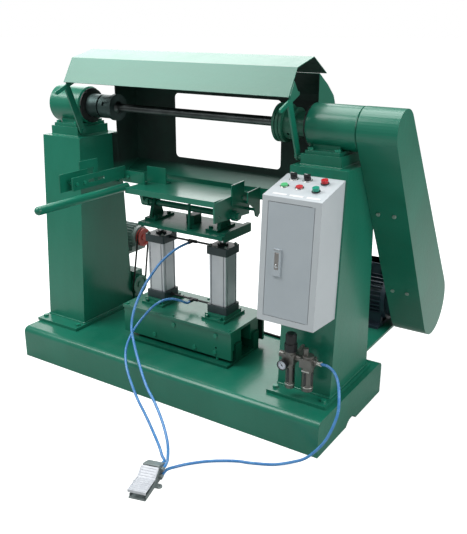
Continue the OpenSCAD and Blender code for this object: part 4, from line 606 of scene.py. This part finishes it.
# Main motor's fan end: a pressed steel cowl in slate enamel, pushed over the fan.
# A grille of black rings and spokes closes it. A steel eyebolt is screwed into the frame's top.
pulley_low, pulley_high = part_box("motor_pulley")
motor_y, motor_z = (pulley_low[1] + pulley_high[1])/2, (pulley_low[2] + pulley_high[2])/2
motor_low, motor_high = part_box("main_motor")
cowl_x = motor_low[0] + 0.0002
cowl = [(0, 0.003), (0.116, 0.003), (0.1225, 0), (0.1240, -0.006), (0.1240, -0.075), (0.1222, -0.078),
        (0, -0.078)]
ring_x, ring_wire, ring_radii = cowl_x - 0.0033, 0.0026, (0.022, 0.038, 0.054, 0.070, 0.086, 0.102)
spoke_x, spoke_wire, spoke_ends = cowl_x - 0.0036, 0.0022, (0.016, 0.108)
eye_x, eye_y, eye_z, eye_r, eye_wire = 0.690, motor_y + 0.040, motor_z + 0.130, 0.016, 0.0048


def upright_ring(x, y, z, radius, turns):
    """A circle square to the X axis: y + radius cos a, z + radius sin a."""
    return np.insert(circle(radius, turns) + (y, z), 0, x, axis=1)


lathe("motor_cowl", cowl, (cowl_x, motor_y, motor_z), leftward, slate_casting, turns=64)
grille_black = moulded("grille_black", (0.010, 0.012, 0.016), 0.5)
for i, r in enumerate(ring_radii):
    ring = swept(upright_ring(ring_x, motor_y, motor_z, r, 60), circle(ring_wire, 8), True, (1, 0, 0))
    capped(f"grille_ring_{i}", ring, grille_black, closed=True)
for i in range(8):
    a = math.pi*i/4
    ends = [(spoke_x, motor_y + r*math.cos(a), motor_z + r*math.sin(a)) for r in spoke_ends]
    spoke = swept(np.linspace(*ends, 4), circle(spoke_wire, 8), False, (1, 0, 0))
    capped(f"grille_spoke_{i}", spoke, grille_black)
eye_ring = swept(upright_ring(eye_x, eye_y, eye_z, eye_r, 36), circle(eye_wire, 10), True, (1, 0, 0))
capped("motor_eyebolt", eye_ring, bolt_steel, closed=True)


# Main motor's terminal box: a cast lid on four steel screws.
# A black plastic gland is screwed into its front, and the lead runs from there to the column.
lid_t, lid_inset = 0.006, 0.008
lid_low, lid_high = (0.592, 0.610, motor_high[2] - lid_t), (0.708, 0.704, motor_high[2])
lid_screw_z = lid_high[2] - 0.0004
lid_screw = [(0, 0), (0.0045, 0), (0.0045, 0.002), (0.003, 0.0032), (0, 0.0034)]
gland_at = (0.645, 0.612, 0.502)
gland = [(0, -0.004), (0.013, -0.004), (0.013, 0.008), (0.010, 0.010), (0.010, 0.018), (0.0075, 0.022),
         (0, 0.022)]
lead_r = 0.0062
lead_route = [(645, 592, 502), (645, 570, 501), (648, 520, 488), (655, 450, 462), (662, 380, 448),
              (668, 320, 444), (670, 262, 444), (670, 236, 444)]


def slab(name, low, high, finish, body="machine", soften=0.001, turn=None):
    """A plate: each corner is low plus pick times (high - low), where pick is 0 or 1 along an axis.
    Its edges are rounded by soften, and turn carries the corners into the machine's frame."""
    pick = np.array([(x, y, z) for x in (0, 1) for y in (0, 1) for z in (0, 1)])
    corners = np.asarray(low, float) + pick*(np.asarray(high, float) - low)
    if turn:
        corners = turn(corners)
    faces = [(0, 1, 3, 2), (4, 6, 7, 5), (0, 4, 5, 1), (2, 3, 7, 6), (0, 2, 6, 4), (1, 5, 7, 3)]
    made = mesh_piece(name, corners, faces, finish, body, rounded=False)
    bevel = made.modifiers.new("edge", "BEVEL")
    bevel.width, bevel.segments, bevel.limit_method = soften, 2, "ANGLE"


slab("terminal_lid", lid_low, lid_high, slate_casting, soften=0.003)
screws = [(x, y) for y in (lid_low[1] + lid_inset, lid_high[1] - lid_inset)
          for x in (lid_low[0] + lid_inset, lid_high[0] - lid_inset)]
for i, (x, y) in enumerate(screws):
    lathe(f"lid_screw_{i}", lid_screw, (x, y, lid_screw_z), upright, bolt_steel, turns=12)
lathe("motor_gland", gland, gland_at, frontward, black_plastic, turns=16)
capped("motor_lead", swept(smooth_route(lead_route, 6), circle(lead_r, 10)), black_plastic)


# Air cylinders' upper ends: each cap is held by four zinc-plated nuts on the tie rods.
# A black rubber seal stands round each rod where it leaves the cap.
barrels_low, barrels_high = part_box("cylinder_barrels")
barrel_half = (barrels_high[1] - barrels_low[1])/2
cylinder_xs = (barrels_low[0] + barrel_half, barrels_high[0] - barrel_half)
cylinder_y, tie_reach = barrels_low[1] + barrel_half, 0.042
cap_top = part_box("cylinder_caps")[1][2] + 0.0002
tie_nut = [(0, -0.001), (0.0072, -0.001), (0.0072, 0.0052), (0.0064, 0.0064), (0.0038, 0.0064),
           (0.0038, 0.0098), (0.0030, 0.0106), (0, 0.0106)]
rod_seal = [(0.0128, -0.0005), (0.026, -0.0005), (0.026, 0.006), (0.0235, 0.0085), (0.0165, 0.0085),
            (0.0150, 0.011), (0.0128, 0.011)]
for c, x in enumerate(cylinder_xs):
    for i, (across, back) in enumerate(((-1, -1), (1, -1), (-1, 1), (1, 1))):
        at = (x + across*tie_reach, cylinder_y + back*tie_reach, cap_top)
        lathe(f"tie_nut_{c}_top_{i}", tie_nut, at, upright, bolt_steel, "carriage", 6)
    lathe(f"rod_seal_{c}", rod_seal, (x, cylinder_y, cap_top), upright, black_plastic,
          "carriage")


# Control box trim: blank white label plates stuck on, and rings round buttons, selectors and lamps.
# A near-black strip lies behind the gap round the door as painted shade, and the lock has a chromed bar
# and button.
# The box leans with the column, and its top slopes.
lean, slope = math.radians(3.43363), math.radians(17.35402)
box_low, box_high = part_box("control_box")
box_at, slope_at = ((box_low[0] + box_high[0])/2, -0.12532, box_low[2]), (0, -0.192, 0.504)
panel_w, panel_l = box_high[0] - box_low[0], 0.20116
label_ends = ((-0.095, -0.035), (-0.022, 0.036), (0.050, 0.106))
label_y, label_l, label_t = 0.018, 0.013, 0.0009
button_shares = {"red": (0.26, 0.73), "green": (0.25, 0.38)}
selector_shares = {"left": (-0.30, 0.80), "right": (-0.065, 0.80)}
lamp_shares = ((-0.32, 0.45), (-0.06, 0.45))
mark_x0, mark_x1, mark_half, mark_z0, mark_z1 = -0.012, 0.002, 0.0014, 0.0262, 0.0270
gap_shade_x, gap_shade_y, gap_shade_low, gap_shade_high = 0.0990, -0.1875, 0.0250, 0.4830
gap_shade_corner, gap_shade_r = 0.012, 0.0009
lock_bar_low, lock_bar_high = (-0.0640, -0.2012, 0.2990), (-0.0301, -0.1988, 0.3022)
lock_button_at = (-0.04704, -0.1990, 0.2350)
lock_button = [(0, -0.001), (0.0068, -0.001), (0.0068, 0.0012), (0.0052, 0.0026), (0, 0.0032)]


def tipped(p, a, at=(0, 0, 0)):
    """Points tipped back by a about the X axis, y cos a - z sin a and y sin a + z cos a, and moved."""
    x, y, z = np.asarray(p, float).T
    return np.stack([x, y*math.cos(a) - z*math.sin(a), y*math.sin(a) + z*math.cos(a)], 1) + at


def on_box(p):
    """From the box's own frame, leaning with the column, to the machine's."""
    return tipped(p, -lean, box_at)


def on_slope(p):
    """From the sloping top's frame, x across, y up the slope, z out of it, to the machine's."""
    return on_box(tipped(p, slope, slope_at))


def trim_ring(name, shares, radii, heights, finish, lift=0.0):
    """A ring on the sloping top at shares of its width and length. Its radii are inside, top and
    outside, and its heights are those of the outside and of the top."""
    inside, top, outside = radii
    side, height = heights
    profile = [(inside, 0), (outside, 0), (outside, side), (top, height), (inside, height)]
    at = on_slope([(shares[0]*panel_w, shares[1]*panel_l, lift)])[0]
    lathe(name, profile, at, tipped([upright], slope - lean)[0], finish)


label_white = moulded("label_white", (0.86, 0.87, 0.88), 0.35)
for i, (x0, x1) in enumerate(label_ends):
    slab(f"label_plate_{i}", (x0, label_y, 0), (x1, label_y + label_l, label_t), label_white,
         soften=0.0003, turn=on_slope)
for name, shares in button_shares.items():
    trim_ring(name + "_collar", shares, (0.0142, 0.0160, 0.0172), (0.0030, 0.0042), black_plastic,
              lift=0.003)
for name, shares in selector_shares.items():
    x, y = shares[0]*panel_w, shares[1]*panel_l
    slab(name + "_mark", (x + mark_x0, y - mark_half, mark_z0), (x + mark_x1, y + mark_half, mark_z1),
         label_white, name + "_switch", 0.0002, on_slope)
    trim_ring(name + "_ring", shares, (0.0172, 0.0190, 0.0200), (0.0018, 0.0026), nickel)
for i, shares in enumerate(lamp_shares):
    trim_ring(f"lamp_ring_{i}", shares, (0.0152, 0.0168, 0.0182), (0.0022, 0.0036), nickel)
# Near-black strip behind the door gap: painted shade, so that the gap reads dark.
gap_shade = Finish("door_gap_shade", (0.02, 0.026, 0.032), 0.7)
gap_shade.put(rough=0.6 + gap_shade.cloud(200, 3)*0.3, normal=gap_shade.bump(gap_shade.cloud(400, 2), 0.0002))
loop = [(-gap_shade_x, gap_shade_low), (gap_shade_x - gap_shade_corner, gap_shade_low),
        (gap_shade_x, gap_shade_low + gap_shade_corner), (gap_shade_x, gap_shade_high - gap_shade_corner),
        (gap_shade_x - gap_shade_corner, gap_shade_high), (-gap_shade_x, gap_shade_high)]
square = np.array([(-1, -1), (1, -1), (1, 1), (-1, 1)])
strip = swept(on_box([(x, gap_shade_y, z) for x, z in loop]), square*gap_shade_r, True, frontward)
capped("gap_shade_strip", strip, gap_shade, closed=True, rounded=False)
slab("lock_bar", lock_bar_low, lock_bar_high, chrome, "door", 0.0008, on_box)
lathe("lock_button", lock_button, on_box([lock_button_at])[0], tipped([frontward], -lean)[0], chrome,
      "latch", 24)


# Pressure gauge: a white enamelled dial, 38 mm across, under the black rim of the case.
# It has plain ticks and a black needle on a turned boss, and nothing is written on it.
gauge_low, gauge_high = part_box("pressure_gauge")
case_r, dial_depth = 0.022, 0.0031
dial_at = np.array([gauge_high[0] - case_r, gauge_low[1] + dial_depth, gauge_high[2] - case_r])
on_dial, over_dial = dial_at + (0, -0.0008, 0), dial_at + (0, -0.0014, 0)
tick_outer, tick_inner, long_tick_inner = 0.0165, 0.0145, 0.0128
ticks, first_tick, tick_turn = 13, -45, 22.5
needle_tail, needle_tip = (0.004, 0, -0.005), (-0.0075, 0, 0.0105)
tick_r, needle_r = 0.00045, 0.00063
dial = [(0, -0.0004), (0.0188, -0.0004), (0.0188, 0.0004), (0, 0.0005)]
boss = [(0, 0), (0.0026, 0), (0.0026, 0.0014), (0, 0.0020)]
dial_white = moulded("dial_white", (0.66, 0.72, 0.82), 0.3)
lathe("gauge_dial", dial, dial_at, frontward, dial_white, turns=40)
for i in range(ticks):
    a = math.radians(first_tick + tick_turn*i)
    outward = np.array([math.cos(a), 0, math.sin(a)])
    ends = [on_dial + outward*r for r in (tick_inner if i % 3 else long_tick_inner, tick_outer)]
    capped(f"dial_tick_{i}", swept(ends, square*tick_r, False, frontward), black_plastic,
           rounded=False)
needle = swept([over_dial + needle_tail, over_dial + needle_tip], square*needle_r, False, frontward)
capped("gauge_needle", needle, black_plastic, rounded=False)
lathe("needle_boss", boss, on_dial, frontward, black_plastic, turns=16)


# Air unit bowls: smoky plastic windows let into the metal guards, on the front and on the right.
# A nickel ring closes each guard below its windows, and a bright plate sits on the oiler's head.
elbow_low, elbow_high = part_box("air_elbow")
bowl_y = (elbow_low[1] + elbow_high[1])/2
ring_drop, window_t, window_proud = 0.012, 0.0008, 0.0006
window_rows, window_columns = 12, 9
band_low, band_high = (0.7190, -0.2404, 0.3165), (0.7530, -0.2384, 0.3245)
smoky = moulded("smoky_bowl", (0.020, 0.022, 0.024), 0.18)


def bowl_window(name, x, r, z0, z1, middle, half):
    """A window on a bowl of radius r, z0 to z1 high. At v from -1 at its foot to 1 at its top its
    angles are middle plus or minus half (1 - 0.35 |v|^8) degrees, which rounds its corners."""
    narrow = 1 - 0.35*np.abs(np.linspace(-1, 1, window_rows))**8
    a = np.radians(middle + np.linspace(-half, half, window_columns)*narrow[:, None])
    z = np.linspace(z0, z1, window_rows)[:, None] + 0*a
    grid = np.stack([x + (r + window_proud)*np.cos(a), bowl_y + (r + window_proud)*np.sin(a), z], -1)
    faces = grid_quads(window_rows, window_columns, round_each=False).tolist()
    made = mesh_piece(name, grid.reshape(-1, 3), faces, smoky)
    wall = made.modifiers.new("wall", "SOLIDIFY")
    wall.thickness, wall.offset = window_t, -1


for name, x, r, z0, z1, half in (("filter", 0.655, 0.0203, 0.245, 0.312, 17),
                                 ("oiler", 0.736, 0.0243, 0.255, 0.315, 14)):
    bowl_window(name + "_window_front", x, r, z0, z1, -90, half)
    bowl_window(name + "_window_right", x, r, z0, z1, -15, half)
    bowl_ring = [(r - 0.001, 0), (r + 0.0018, 0), (r + 0.0022, 0.002), (r + 0.0018, 0.004),
                 (r - 0.001, 0.004)]
    lathe(name + "_bowl_ring", bowl_ring, (x, bowl_y, z0 - ring_drop), upright, nickel)
slab("oiler_band", band_low, band_high, nickel, soften=0.0006)


# Foot treadle: two framed panels of ribs on its top, in one piece with it, so that a shoe grips it.
# The frames and ribs stand a millimetre proud of the silver face.
valve_x, valve_y, valve_turn = 0.411, -0.925, math.radians(15)
tread_top, ramp_y, ramp = 0.03795, 0.08464, math.atan2(0.02673, 0.03772)
tread_x, rail_w, rib_w, panel_start = 0.034, 0.0024, 0.0022, 0.006
sunk, proud = -0.0004, 0.0012


def on_valve(p):
    """From the valve's own frame, x across, y back, z up, to the machine's: turned by its angle a
    about Z, x cos a - y sin a and x sin a + y cos a."""
    x, y, z = np.asarray(p, float).T
    return np.stack([valve_x + x*math.cos(valve_turn) - y*math.sin(valve_turn),
                     valve_y + x*math.sin(valve_turn) + y*math.cos(valve_turn), z], 1)


def on_front(p):
    """Onto the treadle's level front part: x across, y along, z out of it."""
    return on_valve(tipped(p, 0, (0, 0, tread_top)))


def on_ramp(p):
    """Onto the treadle's rising back part: x across, y along, z out of it."""
    return on_valve(tipped(p, ramp, (0, ramp_y, tread_top)))


for place, end, ribs, turn in (("low", 0.078, 7, on_front), ("high", 0.040, 4, on_ramp)):
    for i, x in enumerate((-tread_x, tread_x - rail_w)):
        slab(f"tread_{place}_side_{i}", (x, panel_start, sunk), (x + rail_w, end, proud), treadle,
             "pedal", 0.0004, turn)
    for i, y in enumerate(np.linspace(panel_start, end - rib_w, ribs)):
        slab(f"tread_{place}_rib_{i}", (rail_w - tread_x, y, sunk), (tread_x - rail_w, y + rib_w, proud),
             treadle, "pedal", 0.0004, turn)


# Studio: a pale floor that the camera sees as nearly white and that keeps the machine's shadow.
# Four soft square lamps and a pale sky light it. Each row is a lamp's name, place, aim, size, power.
floor_half, floor_glow, sky_light, sky_seen = 60, 0.88, 0.28, 1.0
floor_mesh = bpy.data.meshes.new("floor")
floor_mesh.from_pydata(rectangle(0, floor_half, -floor_half, floor_half, 0), [], [(0, 1, 2, 3)])
floor = bpy.data.objects.new("floor", floor_mesh)
scene.collection.objects.link(floor)
floor_paint = Finish("floor_paint", (0.52, 0.54, 0.53), 0.9,
                     **{"Specular IOR Level": 0.0, "Emission Strength": floor_glow})
seen = floor_paint.node("ShaderNodeLightPath", out="Is Camera Ray")
floor_paint.put(glow=floor_paint.blend(seen, (0, 0, 0), (1, 1, 1)))
floor_mesh.materials.append(floor_paint.material)
world = bpy.data.worlds.new("studio")
scene.world = world
world.use_nodes = True
sky = world.node_tree.nodes["Background"]
sky.inputs["Color"].default_value = (1, 1, 1, 1)
rays = world.node_tree.nodes.new("ShaderNodeLightPath")
level = world.node_tree.nodes.new("ShaderNodeMath")
level.operation = "MULTIPLY_ADD"
level.inputs[1].default_value, level.inputs[2].default_value = sky_seen - sky_light, sky_light
world.node_tree.links.new(rays.outputs["Is Camera Ray"], level.inputs[0])
world.node_tree.links.new(level.outputs[0], sky.inputs["Strength"])
for name, place, aim, size, power in (
        ("window_lamp", (-1.8, -1.5, 3.6), (0, 0, 1.2), 2.35, 100),
        ("sky_lamp", (-0.4, 0.7, 4.8), (0, 0, 0.6), 3.0, 120),
        ("back_lamp", (-2.6, 3.0, 3.2), (0, 0, 0.9), 3.2, 78),
        ("fill_lamp", (3.9, -0.5, 2.6), (0.6, 0, 0.9), 1.8, 60)):
    lamp = bpy.data.objects.new(name, bpy.data.lights.new(name, "AREA"))
    lamp.data.size, lamp.data.energy = size, power
    lamp.location = place
    lamp.rotation_euler = (Vector(aim) - Vector(place)).to_track_quat("-Z", "Y").to_euler()
    scene.collection.objects.link(lamp)


bpy.context.view_layer.update()
